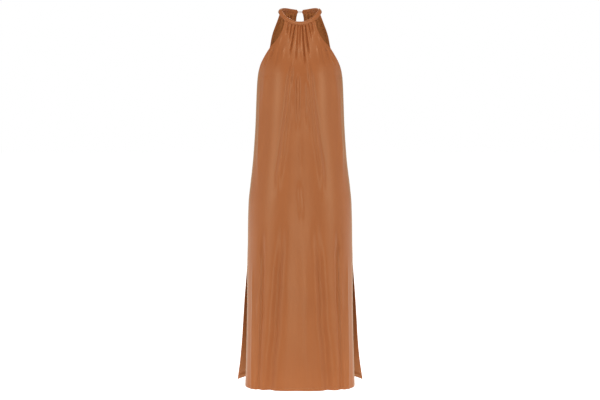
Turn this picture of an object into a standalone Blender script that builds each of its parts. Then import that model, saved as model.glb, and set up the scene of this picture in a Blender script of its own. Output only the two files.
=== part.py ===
"""Sleeveless halter midi dress, filled out as it hangs from a wearer's neck, in metres with +Z up.

The front faces -Y. The origin is the middle of the neckband's ring, where the neck holds the dress.
The cloth is cut as a gathered front and a back with a keyhole, both sewn to a narrow neckband. The
side seams run from the underarm to the top of the side slits.
"""

import math
from collections import namedtuple

import bmesh
import bpy
import numpy as np
from mathutils import Matrix, Vector

COLLECTION_NAME = "halter_midi_dress"

# Driving dimensions, in metres
BAND_TOP = 0.0083
DRESS_LENGTH = 1.2803
HEM_Z = BAND_TOP - DRESS_LENGTH
CLOTH_WALL = 0.0018
SEAM_GAP = 0.0003
SIDE_SEAM_SHIFT = 0.00028

# Neckband: a folded strip that leans outward as it follows the slope of the neck
BAND_WIDTH = 0.016
BAND_WALL = 0.0032
BAND_EDGE_ROUND = 0.0009
BAND_HALF_WIDTH = 0.0622
BAND_FRONT_DEPTH = 0.053
BAND_BACK_DEPTH = 0.056
BAND_FRONT_DROP = 0.0473
BAND_DROP_POWER = 1.46
# The back rises in an arch on each side of the nape and sags a little at its middle
BAND_BACK_ARCH = 0.0041
BAND_BACK_SAG = 0.0003
BAND_LEAN_FRONT = math.radians(45)
BAND_LEAN_SIDE = math.radians(38)
BAND_LEAN_BACK = math.radians(12)
BAND_END_GAP = 0.00675
BAND_END_ROUND = 0.0042
FRONT_NECK_HALF_ANGLE = math.radians(44)
BACK_NECK_HALF_ANGLE = math.radians(69)
# The panels' walls slope against the band's lower edge, so their outer faces stop this far below it
NECK_SEAM_DROP = 0.0007

# Keyhole below the back closure
KEYHOLE_HALF_WIDTH = 0.0132
KEYHOLE_MIDDLE_Z = -0.042
KEYHOLE_HALF_LENGTH = 0.048
KEYHOLE_POWER = 2.6

# Button and loop that close the neckband at the nape
BUTTON_RADIUS = 0.0047
BUTTON_THICKNESS = 0.0026
BUTTON_SHANK_RADIUS = 0.0013
BUTTON_SHANK_LENGTH = 0.0024
BUTTON_FROM_CENTRE = 0.0135
LOOP_RADIUS = 0.00075
LOOP_SPREAD = 0.0016

FRONT_COLUMNS = 42
FRONT_ARMHOLE_ROWS = 19
BACK_HALF_COLUMNS = 18
KEYHOLE_ROWS = 11
BACK_ARMHOLE_ROWS = 9
BODY_ROWS = 18
BAND_COLUMNS = 58
BAND_ROWS = 4
BUTTON_STEPS = 20

CARAMEL = (0.42, 0.145, 0.055, 1.0)
BAND_CARAMEL = (0.43, 0.15, 0.058, 1.0)
BUTTON_BROWN = (0.30, 0.10, 0.04, 1.0)
LOOP_BROWN = (0.26, 0.09, 0.035, 1.0)

# A section of cloth from one edge of a panel to the other: the point at its centre, the point at its
# right edge, the share of a quarter turn that it spans and how square its bend is.
Section = namedtuple("Section", "centre_y centre_z edge_x edge_y edge_z half_angle fullness")
# A level section of the sewn body, from the underarm to the top of the slits.
Body = namedtuple("Body", "z half_width front_y back_y front_fullness back_fullness")
# A soft ridge (height above zero) or trough, from its top to its bottom across the front view.
Fold = namedtuple("Fold", "x_top z_top x_bottom z_bottom bow width_top width_bottom height fade_top fade_bottom")

FRONT_ARMHOLE = (
    Section(-0.0765, -0.0780, 0.0566, -0.0580, -0.0604, 44, 2.0),
    Section(-0.0895, -0.1010, 0.0671, -0.0660, -0.0841, 45, 2.0),
    Section(-0.1010, -0.1215, 0.0815, -0.0700, -0.1046, 48, 2.0),
    Section(-0.1090, -0.1365, 0.0955, -0.0705, -0.1194, 52, 2.0),
    Section(-0.1190, -0.1630, 0.1182, -0.0630, -0.1532, 60, 2.1),
    Section(-0.1245, -0.1840, 0.1312, -0.0520, -0.1779, 67, 2.2),
    Section(-0.1275, -0.2020, 0.1385, -0.0370, -0.1990, 75, 2.2),
    Section(-0.1292, -0.2135, 0.1422, -0.0175, -0.2140, 83, 2.2),
)
BACK_ARMHOLE = (
    Section(0.0700, -0.0300, 0.0770, 0.0460, -0.0280, 61, 2.0),
    Section(0.0770, -0.0465, 0.0838, 0.0580, -0.0446, 55, 2.0),
    Section(0.0835, -0.0630, 0.0906, 0.0670, -0.0610, 51, 2.0),
    Section(0.0900, -0.0840, 0.0974, 0.0735, -0.0825, 49, 2.0),
    Section(0.0985, -0.1240, 0.1058, 0.0760, -0.1237, 50, 2.0),
    Section(0.1030, -0.1580, 0.1182, 0.0680, -0.1560, 58, 2.1),
    Section(0.1050, -0.1840, 0.1312, 0.0560, -0.1800, 66, 2.2),
    Section(0.1056, -0.2010, 0.1385, 0.0390, -0.2000, 75, 2.2),
    Section(0.1058, -0.2130, 0.1422, 0.0180, -0.2143, 83, 2.2),
)
BODY = (
    Body(-0.2215, 0.1436, -0.1305, 0.1058, 2.2, 2.2),
    Body(-0.2660, 0.1467, -0.1320, 0.1055, 2.2, 2.2),
    Body(-0.3000, 0.1480, -0.1315, 0.1045, 2.2, 2.2),
    Body(-0.3700, 0.1508, -0.1285, 0.1015, 2.2, 2.2),
    Body(-0.4350, 0.1545, -0.1260, 0.0995, 2.2, 2.2),
    Body(-0.5000, 0.1596, -0.1250, 0.1005, 2.2, 2.2),
    Body(-0.5400, 0.1642, -0.1250, 0.1030, 2.2, 2.2),
    Body(-0.6000, 0.1718, -0.1260, 0.1090, 2.2, 2.2),
    Body(-0.6400, 0.1760, -0.1270, 0.1125, 2.2, 2.2),
    Body(-0.7100, 0.1784, -0.1275, 0.1160, 2.2, 2.2),
    Body(-0.7800, 0.1797, -0.1275, 0.1180, 2.2, 2.2),
    Body(-0.8550, 0.1820, -0.1270, 0.1205, 2.2, 2.2),
)
FRONT_SLIT = (
    Section(-0.1275, -0.9800, 0.1822, -0.0140, -0.9800, 90, 2.3),
    Section(-0.1285, -1.0800, 0.1834, -0.0235, -1.0800, 90, 2.5),
    Section(-0.1300, -1.1800, 0.1856, -0.0325, -1.1800, 90, 2.8),
    Section(-0.1315, HEM_Z, 0.1888, -0.0400, HEM_Z, 90, 3.1),
)
BACK_SLIT = (
    Section(0.1235, -0.9300, 0.1880, 0.0050, -0.9300, 86, 2.2),
    Section(0.1250, -0.9900, 0.1929, 0.0090, -0.9900, 81, 2.15),
    Section(0.1272, -1.0600, 0.1978, 0.0125, -1.0600, 75, 2.1),
    Section(0.1300, -1.1300, 0.2022, 0.0155, -1.1300, 70, 2.0),
    Section(0.1340, -1.2000, 0.2090, 0.0175, -1.2000, 66, 2.0),
    Section(0.1390, HEM_Z, 0.2196, 0.0195, HEM_Z, 62, 2.0),
)

FRONT_FOLDS = (
    # Gathers below the neckband
    Fold(-0.037, -0.030, -0.048, -0.092, 0.000, 0.0030, 0.0060, -0.0024, 0.004, 0.030),
    Fold(-0.027, -0.035, -0.040, -0.125, 0.000, 0.0028, 0.0060, -0.0027, 0.004, 0.045),
    Fold(-0.015, -0.045, -0.037, -0.175, 0.000, 0.0028, 0.0065, -0.0036, 0.004, 0.070),
    Fold(-0.006, -0.045, -0.019, -0.270, 0.002, 0.0026, 0.0085, -0.0028, 0.004, 0.130),
    Fold(0.001, -0.045, -0.003, -0.130, 0.000, 0.0026, 0.0050, -0.0025, 0.004, 0.050),
    Fold(0.008, -0.045, 0.017, -0.195, 0.000, 0.0026, 0.0070, -0.0030, 0.004, 0.080),
    Fold(0.016, -0.045, 0.038, -0.180, 0.000, 0.0028, 0.0065, -0.0036, 0.004, 0.070),
    Fold(0.026, -0.035, 0.040, -0.125, 0.000, 0.0028, 0.0060, -0.0027, 0.004, 0.045),
    Fold(0.038, -0.030, 0.050, -0.094, 0.000, 0.0030, 0.0060, -0.0024, 0.004, 0.030),
    # Folds that run from the gathers to the skirt
    Fold(-0.030, -0.110, -0.126, -1.150, -0.013, 0.0110, 0.0190, 0.0036, 0.090, 0.160),
    Fold(0.028, -0.110, 0.127, -1.150, 0.013, 0.0110, 0.0190, 0.0036, 0.090, 0.160),
    Fold(-0.007, -0.160, 0.003, -0.760, 0.000, 0.0070, 0.0100, 0.0022, 0.080, 0.200),
    Fold(0.024, -0.200, 0.030, -0.700, 0.000, 0.0070, 0.0100, 0.0020, 0.080, 0.200),
    Fold(-0.024, -0.200, -0.036, -0.720, 0.000, 0.0070, 0.0100, 0.0018, 0.080, 0.200),
    Fold(-0.066, -0.170, -0.112, -0.600, -0.004, 0.0100, 0.0120, 0.0020, 0.080, 0.180),
    Fold(0.066, -0.170, 0.114, -0.600, 0.004, 0.0100, 0.0120, 0.0020, 0.080, 0.180),
    Fold(-0.092, -0.180, -0.104, -0.420, 0.000, 0.0140, 0.0120, -0.0030, 0.060, 0.120),
    Fold(0.092, -0.180, 0.104, -0.420, 0.000, 0.0140, 0.0120, -0.0030, 0.060, 0.120),
    # Folds of the skirt
    Fold(-0.060, -0.740, -0.110, HEM_Z, 0.008, 0.0130, 0.0170, -0.0045, 0.150, 0.000),
    Fold(0.058, -0.740, 0.108, HEM_Z, -0.008, 0.0130, 0.0170, -0.0045, 0.150, 0.000),
    Fold(-0.124, -0.700, -0.143, HEM_Z, 0.000, 0.0100, 0.0120, -0.0036, 0.120, 0.000),
    Fold(0.124, -0.700, 0.143, HEM_Z, 0.000, 0.0100, 0.0120, -0.0036, 0.120, 0.000),
    Fold(0.008, -0.660, 0.024, HEM_Z, 0.000, 0.0120, 0.0240, 0.0022, 0.200, 0.000),
    Fold(-0.036, -0.760, -0.046, HEM_Z, 0.000, 0.0110, 0.0200, 0.0016, 0.200, 0.000),
)
BACK_FOLDS = (
    # Gathers below the neckband, on each side of the keyhole
    Fold(-0.056, 0.000, -0.066, -0.070, 0.000, 0.0030, 0.0060, -0.0022, 0.004, 0.040),
    Fold(-0.046, 0.000, -0.055, -0.105, 0.000, 0.0030, 0.0060, -0.0026, 0.004, 0.050),
    Fold(-0.035, 0.000, -0.043, -0.090, 0.000, 0.0030, 0.0060, -0.0024, 0.004, 0.045),
    Fold(-0.023, 0.000, -0.032, -0.140, 0.000, 0.0030, 0.0070, -0.0026, 0.004, 0.060),
    Fold(0.022, 0.000, 0.030, -0.125, 0.000, 0.0030, 0.0070, -0.0026, 0.004, 0.055),
    Fold(0.034, 0.000, 0.044, -0.095, 0.000, 0.0030, 0.0060, -0.0024, 0.004, 0.045),
    Fold(0.045, 0.000, 0.056, -0.115, 0.000, 0.0030, 0.0060, -0.0026, 0.004, 0.050),
    Fold(0.055, 0.000, 0.067, -0.075, 0.000, 0.0030, 0.0060, -0.0022, 0.004, 0.040),
    # Folds down the back
    Fold(-0.052, -0.110, -0.098, -1.180, -0.010, 0.0110, 0.0210, 0.0040, 0.120, 0.150),
    Fold(0.047, -0.130, 0.088, -1.120, 0.009, 0.0110, 0.0200, 0.0038, 0.120, 0.180),
    Fold(0.004, -0.110, -0.006, -0.820, 0.003, 0.0090, 0.0160, 0.0028, 0.060, 0.250),
    Fold(-0.084, -0.200, -0.128, -0.760, -0.004, 0.0100, 0.0140, 0.0024, 0.100, 0.200),
    Fold(0.086, -0.220, 0.126, -0.700, 0.004, 0.0100, 0.0140, 0.0026, 0.100, 0.200),
    # Folds of the skirt
    Fold(-0.048, -0.640, -0.066, HEM_Z, 0.004, 0.0140, 0.0190, -0.0046, 0.200, 0.000),
    Fold(0.040, -0.680, 0.052, HEM_Z, -0.004, 0.0140, 0.0200, -0.0042, 0.200, 0.000),
    Fold(-0.112, -0.780, -0.146, HEM_Z, 0.000, 0.0130, 0.0170, -0.0044, 0.180, 0.000),
    Fold(0.108, -0.740, 0.138, HEM_Z, 0.000, 0.0130, 0.0170, -0.0046, 0.180, 0.000),
)
GATHER_SEAM_SHARE = 0.30
GATHER_OPEN_LENGTH = 0.014
SEAM_BLEND_LENGTH = 0.016
NUDGE = 1e-4


def clear_scene():
    """Removes every object that the file opened with."""
    for old in list(bpy.data.objects):
        bpy.data.objects.remove(old, do_unlink=True)


def smooth_step(value):
    """0 below 0, 1 above 1, and an S curve between."""
    held = np.clip(value, 0.0, 1.0)
    return held * held * (3.0 - 2.0 * held)


def monotone_curve(stations, values, wanted):
    """A smooth curve through the values that never overshoots them, read at the wanted stations."""
    spans = np.diff(stations)
    slopes = np.diff(values) / spans
    tangents = np.empty(len(values))
    tangents[0], tangents[-1] = slopes[0], slopes[-1]
    for i in range(1, len(values) - 1):
        before, after = slopes[i - 1], slopes[i]
        near, far = 2 * spans[i] + spans[i - 1], spans[i] + 2 * spans[i - 1]
        turns = before * after <= 0
        tangents[i] = 0.0 if turns else (near + far) / (near / before + far / after)
    k = np.clip(np.searchsorted(stations, wanted, side="right") - 1, 0, len(spans) - 1)
    t = (wanted - stations[k]) / spans[k]
    start, end = values[k], values[k + 1]
    leave, arrive = tangents[k] * spans[k], tangents[k + 1] * spans[k]
    return (
        start * (1 + 2 * t) * (1 - t) ** 2
        + leave * t * (1 - t) ** 2
        + end * t * t * (3 - 2 * t)
        + arrive * t * t * (t - 1)
    )


def band_lean(turn):
    """How far the band leans outward, at this turn round the neck from the front centre."""
    share = np.arccos(np.cos(turn)) / (math.pi / 2)
    front_to_side = BAND_LEAN_FRONT + (BAND_LEAN_SIDE - BAND_LEAN_FRONT) * smooth_step(share)
    side_to_back = (BAND_LEAN_BACK - BAND_LEAN_SIDE) * smooth_step(share - 1)
    return front_to_side + side_to_back


def band_point(turn, across):
    """A point of the band's middle surface: across runs from 0 at its top edge to 1 at its lower edge."""
    lean = band_lean(turn)
    outward = across * BAND_WIDTH * np.sin(lean)
    depth = np.where(np.cos(turn) > 0, BAND_FRONT_DEPTH, BAND_BACK_DEPTH)
    x = (BAND_HALF_WIDTH + outward) * np.sin(turn)
    y = -(depth + outward) * np.cos(turn)
    front = np.clip(np.cos(turn), 0, None) ** BAND_DROP_POWER
    back = np.clip(-np.cos(turn), 0, None)
    arch = BAND_BACK_ARCH * 6.75 * back**2 * (1 - back) - BAND_BACK_SAG * back**2
    top = BAND_TOP - BAND_FRONT_DROP * front + arch
    return np.stack([x, y, top - across * BAND_WIDTH * np.cos(lean)], axis=-1)


def seam_point(turn, facing):
    """A point of a panel's seam with the band, at a turn from the panel's centre line."""
    round_neck = turn if facing < 0 else math.pi - turn
    return band_point(round_neck, 1 + NECK_SEAM_DROP / BAND_WIDTH)


def neck_section(half_angle, facing):
    """The seam of a panel with the band, as the first section of the panel."""
    centre, edge = seam_point(np.array(0.0), facing), seam_point(np.array(half_angle), facing)
    return Section(centre[1], centre[2], edge[0], edge[1], edge[2], math.degrees(half_angle), 2.0)


def body_section(row, facing):
    """A level row of the body as a section of the front (facing -1) or the back (facing 1)."""
    centre_y = row.front_y if facing < 0 else row.back_y
    fullness = row.front_fullness if facing < 0 else row.back_fullness
    return Section(centre_y, row.z, row.half_width, facing * SIDE_SEAM_SHIFT, row.z, 90, fullness)


class Panel:
    """The smooth surface of one panel, from its neck seam to its hem."""

    def __init__(self, facing, armhole, slit, folds, half_angle):
        self.facing = facing
        self.folds = folds
        rows = [neck_section(half_angle, facing), *armhole]
        self.underarm = len(rows)
        rows += [body_section(row, facing) for row in BODY]
        rows += slit
        self.table = {name: np.array([getattr(row, name) for row in rows]) for name in Section._fields}
        steps = np.hypot(np.diff(self.table["centre_y"]), np.diff(self.table["centre_z"]))
        self.stations = np.concatenate([[0.0], np.cumsum(steps)])
        self.length = self.stations[-1]

    def read(self, name, along):
        """One column of the table at these distances down the centre line."""
        values = self.table[name]
        if name != "edge_y":
            return monotone_curve(self.stations, values, along)
        split = self.underarm
        above = monotone_curve(self.stations[: split + 1], values[: split + 1], along)
        below = monotone_curve(self.stations[split:], values[split:], along)
        return np.where(along < self.stations[split], above, below)

    def bend(self, turn, fullness):
        """How far round towards the centre a section has come: 1 at its centre, 0 at a quarter turn."""
        rest = 1 - np.abs(np.sin(turn)) ** fullness
        return np.clip(rest, 0, None) ** (1 / fullness)

    def smooth(self, turn, along):
        """A point of the unfolded surface, at a turn from the centre line and a distance down it."""
        off_seam = seam_point(turn, self.facing) - self.loft(turn, np.zeros_like(along))
        fade = np.clip(1 - along / SEAM_BLEND_LENGTH, 0, 1) ** 2
        return self.loft(turn, along) + off_seam * fade[..., None]

    def loft(self, turn, along):
        """A point of the surface through the table's sections."""
        along = np.clip(along, 0, self.length)
        half_angle = np.radians(self.read("half_angle", along))
        fullness = self.read("fullness", along)
        edge_bend = self.bend(half_angle, fullness)
        share = (self.bend(turn, fullness) - edge_bend) / (1 - edge_bend)
        x = self.read("edge_x", along) * np.sin(turn) / np.sin(half_angle)
        y = self.mix("y", along, share)
        z = self.mix("z", along, share)
        return np.stack([x, y, z], axis=-1)

    def mix(self, axis, along, share):
        """The height or depth of a section, between its edge (share 0) and its centre (share 1)."""
        edge, centre = self.read("edge_" + axis, along), self.read("centre_" + axis, along)
        return edge + (centre - edge) * share

    def normal(self, turn, along):
        """The outward direction of the unfolded surface."""
        right = turn > 0
        across = self.smooth(np.where(right, turn, turn + NUDGE), along)
        across = across - self.smooth(np.where(right, turn - NUDGE, turn), along)
        low, high = np.clip(along - NUDGE, 0, None), np.clip(along + NUDGE, None, self.length)
        down = self.smooth(turn, high) - self.smooth(turn, low)
        out = np.cross(down, across) * -self.facing
        return out / np.linalg.norm(out, axis=-1, keepdims=True)

    def fold_height(self, points, along):
        """How far the folds stand out of the surface at these points."""
        x, z = points[..., 0], points[..., 2]
        height = np.zeros(x.shape)
        for fold in self.folds:
            share = np.clip((fold.z_top - z) / (fold.z_top - fold.z_bottom), 0, 1)
            middle = fold.x_top + (fold.x_bottom - fold.x_top) * share + fold.bow * 4 * share * (1 - share)
            width = fold.width_top + (fold.width_bottom - fold.width_top) * share
            begins = smooth_step((fold.z_top - z) / fold.fade_top)
            ends = smooth_step((z - fold.z_bottom) / fold.fade_bottom) if fold.fade_bottom else 1.0
            height += fold.height * begins * ends * np.exp(-(((x - middle) / width) ** 2))
        opening = smooth_step(along / GATHER_OPEN_LENGTH)
        return height * (GATHER_SEAM_SHARE + (1 - GATHER_SEAM_SHARE) * opening)

    def folded(self, turn, along):
        """A point of the finished surface, with its folds."""
        points = self.smooth(turn, along)
        return points + self.normal(turn, along) * self.fold_height(points, along)[..., None]


def keyhole_half_width(z):
    """Half the keyhole's width at this height, 0 below its end."""
    off = np.abs((z - KEYHOLE_MIDDLE_Z) / KEYHOLE_HALF_LENGTH)
    open_share = np.clip(1 - off**KEYHOLE_POWER, 0, None) ** (1 / KEYHOLE_POWER)
    return np.where(z > KEYHOLE_MIDDLE_Z - KEYHOLE_HALF_LENGTH, KEYHOLE_HALF_WIDTH * open_share, 0.0)


def grid_shares(mesh, first):
    """The shares across (-1 to 1) and down (0 to 1) of the grid's vertices from this one on."""
    vertices = list(mesh.verts)[first:]
    flat = np.array([vertex.co for vertex in vertices])
    return vertices, flat[:, 0], (1 - flat[:, 1]) / 2


def place(vertices, points):
    """Moves the vertices to these points."""
    for vertex, point in zip(vertices, points, strict=True):
        vertex.co = Vector(point)


def add_object(name, mesh, colour, roughness):
    """A named object from a bmesh, in the dress's collection, with its own material."""
    data = bpy.data.meshes.new(name)
    mesh.to_mesh(data)
    mesh.free()
    data.shade_smooth()
    made = bpy.data.objects.new(name, data)
    bpy.data.collections[COLLECTION_NAME].objects.link(made)
    made.data.materials.append(new_material(name, colour, roughness))
    return made


def new_material(name, colour, roughness):
    """A Principled material with one colour and one roughness."""
    material = bpy.data.materials.new(name)
    material.use_nodes = True
    shader = material.node_tree.nodes["Principled BSDF"]
    shader.inputs["Base Color"].default_value = colour
    shader.inputs["Roughness"].default_value = roughness
    shader.inputs["Metallic"].default_value = 0.0
    return material


def add_wall(made, thickness, offset):
    """Gives an open surface its wall."""
    wall = made.modifiers.new("wall", "SOLIDIFY")
    wall.thickness = thickness
    wall.offset = offset
    return wall


def widening(start, end, rows, first_share):
    """Distances from a start to an end in rows that widen, the first by this share of an even row."""
    share = np.linspace(0, 1, rows + 1)
    return start + (end - start) * (first_share * share + (1 - first_share) * share**2)


def front_stations(panel):
    """Distances down the front's centre line: close rows at the gathers, wide ones at the hem."""
    underarm = panel.stations[panel.underarm]
    above = widening(0.0, underarm, FRONT_ARMHOLE_ROWS, 0.45)
    return np.concatenate([above, widening(underarm, panel.length, BODY_ROWS, 0.6)[1:]])


def back_stations(panel):
    """Distances down the back's centre line: rows that round off the keyhole, then wider ones."""
    underarm = panel.stations[panel.underarm]
    keyhole_end_z = KEYHOLE_MIDDLE_Z - KEYHOLE_HALF_LENGTH
    keyhole_end = np.interp(-keyhole_end_z, -panel.table["centre_z"], panel.stations)
    for _ in range(4):
        missed = panel.read("centre_z", np.array(keyhole_end)) - keyhole_end_z
        keyhole_end += float(missed)
    round_off = keyhole_end * np.sin(np.linspace(0, math.pi / 2, KEYHOLE_ROWS + 1))
    armhole = widening(keyhole_end, underarm, BACK_ARMHOLE_ROWS, 0.9)[1:]
    body = widening(underarm, panel.length, BODY_ROWS, 0.6)[1:]
    return np.concatenate([round_off, armhole, body]), keyhole_end


def build_front():
    """The gathered front panel."""
    panel = Panel(-1, FRONT_ARMHOLE, FRONT_SLIT, FRONT_FOLDS, FRONT_NECK_HALF_ANGLE)
    stations = front_stations(panel)
    rows = len(stations) - 1
    mesh = bmesh.new()
    bmesh.ops.create_grid(mesh, x_segments=FRONT_COLUMNS, y_segments=rows, size=1.0)
    vertices, across, down = grid_shares(mesh, 0)
    along = stations[np.round(down * rows).astype(int)]
    turn = across * np.radians(panel.read("half_angle", along))
    place(vertices, panel.folded(turn, along))
    made = add_object("front_panel", mesh, CARAMEL, 0.55)
    add_wall(made, CLOTH_WALL, -1.0)
    return made


def build_back():
    """The back panel, whose two halves part at the keyhole and meet below it."""
    panel = Panel(1, BACK_ARMHOLE, BACK_SLIT, BACK_FOLDS, BACK_NECK_HALF_ANGLE)
    stations, keyhole_end = back_stations(panel)
    rows = len(stations) - 1
    mesh = bmesh.new()
    for side in (-1, 1):
        first = len(mesh.verts)
        bmesh.ops.create_grid(mesh, x_segments=BACK_HALF_COLUMNS, y_segments=rows, size=1.0)
        vertices, across, down = grid_shares(mesh, first)
        along = stations[np.round(down * rows).astype(int)]
        half_angle = np.radians(panel.read("half_angle", along))
        gap = keyhole_half_width(panel.read("centre_z", along)) * (along < keyhole_end - NUDGE)
        inner = np.arcsin(gap * np.sin(half_angle) / panel.read("edge_x", along))
        outward = (across + 1) / 2 if side > 0 else (1 - across) / 2
        turn = side * (inner + (half_angle - inner) * outward)
        place(vertices, panel.folded(turn, along))
    bmesh.ops.remove_doubles(mesh, verts=mesh.verts, dist=1e-6)
    bmesh.ops.reverse_faces(mesh, faces=mesh.faces)
    made = add_object("back_panel", mesh, CARAMEL, 0.55)
    add_wall(made, CLOTH_WALL, -1.0)
    return made


def band_end_turn(across):
    """The turn at which the band ends, by the share across it: its ends are rounded."""
    gap = BAND_END_GAP + BAND_END_ROUND * (2 * across - 1) ** 2
    return math.pi - np.arcsin(gap / BAND_HALF_WIDTH)


def build_band():
    """The neckband, open at the nape."""
    mesh = bmesh.new()
    bmesh.ops.create_grid(mesh, x_segments=BAND_COLUMNS, y_segments=BAND_ROWS, size=1.0)
    vertices, along, across = grid_shares(mesh, 0)
    place(vertices, band_point(along * band_end_turn(across), across))
    made = add_object("neckband", mesh, BAND_CARAMEL, 0.5)
    add_wall(made, BAND_WALL, 0.0)
    rounding = made.modifiers.new("rounded edges", "BEVEL")
    rounding.width = BAND_EDGE_ROUND
    rounding.segments = 1
    rounding.angle_limit = math.radians(50)
    return made


def closure_frame(turn, across):
    """A matrix at a point of the band's middle surface: X along the band, Y down it, Z outward."""
    at = band_point(np.array(turn), across)
    step = 1e-3
    ahead = Vector(band_point(np.array(turn + step), across) - at).normalized()
    down = Vector(band_point(np.array(turn), across + step) - at).normalized()
    out = down.cross(ahead).normalized()
    frame = Matrix((ahead, out.cross(ahead), out)).transposed().to_4x4()
    frame.translation = Vector(at)
    return frame


def button_frame():
    """Where the button sits: on the outer face of the band's left end."""
    return closure_frame(-(math.pi - math.asin(BUTTON_FROM_CENTRE / BAND_HALF_WIDTH)), 0.5)


def build_button():
    """A domed button on a short shank, turned about its own axis."""
    seat = BAND_WALL / 2 + SEAM_GAP
    head = seat + BUTTON_SHANK_LENGTH
    top = head + BUTTON_THICKNESS
    profile = (
        (0.0, top),
        (BUTTON_RADIUS * 0.45, top - BUTTON_THICKNESS * 0.06),
        (BUTTON_RADIUS * 0.80, top - BUTTON_THICKNESS * 0.26),
        (BUTTON_RADIUS, top - BUTTON_THICKNESS * 0.62),
        (BUTTON_RADIUS * 0.94, head + BUTTON_THICKNESS * 0.12),
        (BUTTON_RADIUS * 0.78, head),
        (BUTTON_SHANK_RADIUS, head),
        (BUTTON_SHANK_RADIUS, seat),
        (0.0, seat),
    )
    mesh = bmesh.new()
    points = [mesh.verts.new((radius, 0.0, height)) for radius, height in profile]
    for first, second in zip(points, points[1:]):
        mesh.edges.new((first, second))
    bmesh.ops.spin(
        mesh,
        geom=mesh.verts[:] + mesh.edges[:],
        axis=(0, 0, 1),
        cent=(0, 0, 0),
        angle=2 * math.pi,
        steps=BUTTON_STEPS,
        use_merge=True,
    )
    bmesh.ops.remove_doubles(mesh, verts=mesh.verts, dist=1e-6)
    bmesh.ops.recalc_face_normals(mesh, faces=mesh.faces)
    made = add_object("neck_button", mesh, BUTTON_BROWN, 0.35)
    made.matrix_world = button_frame()
    return made


def loop_points():
    """The loop's centreline: out of the right end, round the button's shank and back."""
    frame = button_frame()
    shank = Vector((0, 0, BAND_WALL / 2 + SEAM_GAP * 2 + LOOP_RADIUS))
    round_radius = BUTTON_SHANK_RADIUS + LOOP_RADIUS + SEAM_GAP
    right = closure_frame(float(band_end_turn(np.array(0.5))) + SEAM_GAP / BAND_HALF_WIDTH, 0.5)
    towards = (frame.inverted() @ right.translation).normalized()
    quarter = math.atan2(towards.y, towards.x)
    arc = []
    for i in range(9):
        angle = quarter + math.pi / 2 + math.pi * i / 8
        arc.append(frame @ (shank + round_radius * Vector((math.cos(angle), math.sin(angle), 0))))
    starts = [right @ Vector((0, side * LOOP_SPREAD, 0)) for side in (-1, 1)]
    if (starts[0] - arc[0]).length > (starts[1] - arc[0]).length:
        starts.reverse()
    leave = [starts[0].lerp(arc[0], share) + lift(share) for share in (0.0, 0.25, 0.5, 0.75)]
    arrive = [starts[1].lerp(arc[-1], share) + lift(share) for share in (0.75, 0.5, 0.25, 0.0)]
    return leave + arc + arrive


def lift(share):
    """How far the loop's strands rise off the straight line so that they clear the band's left end."""
    return Vector((0, 0.0016 * math.sin(math.pi * share), 0))


def build_loop():
    """The thin cord loop that goes round the button."""
    curve = bpy.data.curves.new("button_loop", "CURVE")
    curve.dimensions = "3D"
    curve.bevel_depth = LOOP_RADIUS
    curve.bevel_resolution = 1
    curve.use_fill_caps = True
    points = loop_points()
    spline = curve.splines.new("POLY")
    spline.points.add(len(points) - 1)
    for target, point in zip(spline.points, points, strict=True):
        target.co = (*point, 1.0)
    made = bpy.data.objects.new("button_loop", curve)
    bpy.data.collections[COLLECTION_NAME].objects.link(made)
    curve.materials.append(new_material("button_loop", LOOP_BROWN, 0.6))
    return made


def main():
    """Builds the dress."""
    clear_scene()
    parts = bpy.data.collections.new(COLLECTION_NAME)
    bpy.context.scene.collection.children.link(parts)
    build_front()
    build_back()
    build_band()
    build_button()
    build_loop()


if __name__ == "__main__":
    main()
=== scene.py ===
"""Halter midi dress, dressed: jersey shells with their folds, turned edges, stitching and closure.

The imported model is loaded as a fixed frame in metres, +Z up, with the front facing -Y. Each class
below makes one part of the dress, in the order in which it is sewn, and the studio comes last.
"""

from __future__ import annotations

import logging
import math
from dataclasses import dataclass, field
from enum import Enum
from typing import NamedTuple

import bmesh
import bpy
import numpy as np
from mathutils import Matrix, Vector

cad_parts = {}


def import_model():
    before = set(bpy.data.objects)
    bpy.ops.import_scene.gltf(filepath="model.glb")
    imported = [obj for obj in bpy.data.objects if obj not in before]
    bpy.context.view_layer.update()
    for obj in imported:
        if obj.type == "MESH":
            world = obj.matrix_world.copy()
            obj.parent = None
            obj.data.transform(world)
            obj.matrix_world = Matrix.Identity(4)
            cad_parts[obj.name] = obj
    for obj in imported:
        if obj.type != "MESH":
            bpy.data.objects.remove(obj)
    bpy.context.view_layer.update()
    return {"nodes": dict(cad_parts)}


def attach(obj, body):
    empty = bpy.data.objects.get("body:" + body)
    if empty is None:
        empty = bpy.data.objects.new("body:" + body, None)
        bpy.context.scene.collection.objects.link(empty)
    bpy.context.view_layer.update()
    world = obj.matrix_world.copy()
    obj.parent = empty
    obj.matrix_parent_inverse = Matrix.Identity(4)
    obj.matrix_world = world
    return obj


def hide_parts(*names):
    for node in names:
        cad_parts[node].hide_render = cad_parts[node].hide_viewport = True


frame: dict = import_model()

LOG = logging.getLogger("dress")
BODY = "root"
CLOTH_MAP = "cloth"
MM = 0.001
NUDGE = 1e-4
MERGE_DISTANCE = 1e-6
MEASURING_STEPS = 301
FAR_FROM_SIDE = 0.1
FAR_AWAY = 1.0
ARCH_SCALE = 27 / 4
# How a fold wanders off its line: share of its width, radians a metre, radians from fold to fold
WANDER = ((0.12, 19.0, 2.4), (0.08, 43.0, 1.7))

Array = np.ndarray
Colour = tuple[float, float, float, float]
Place = tuple[float, float, float]


class Facing(Enum):
    """The side of the dress a panel is on, as the sign of its depth."""

    FRONT = -1
    BACK = 1


class Section(NamedTuple):
    """A section of cloth across a panel, from its centre line to its right edge."""

    centre_y: float
    centre_z: float
    edge_x: float
    edge_y: float
    edge_z: float
    half_angle: float
    fullness: float


class BodyRow(NamedTuple):
    """A level section of the sewn body, from the underarm to the top of the slits."""

    z: float
    half_width: float
    front_y: float
    back_y: float
    fullness: float


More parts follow.
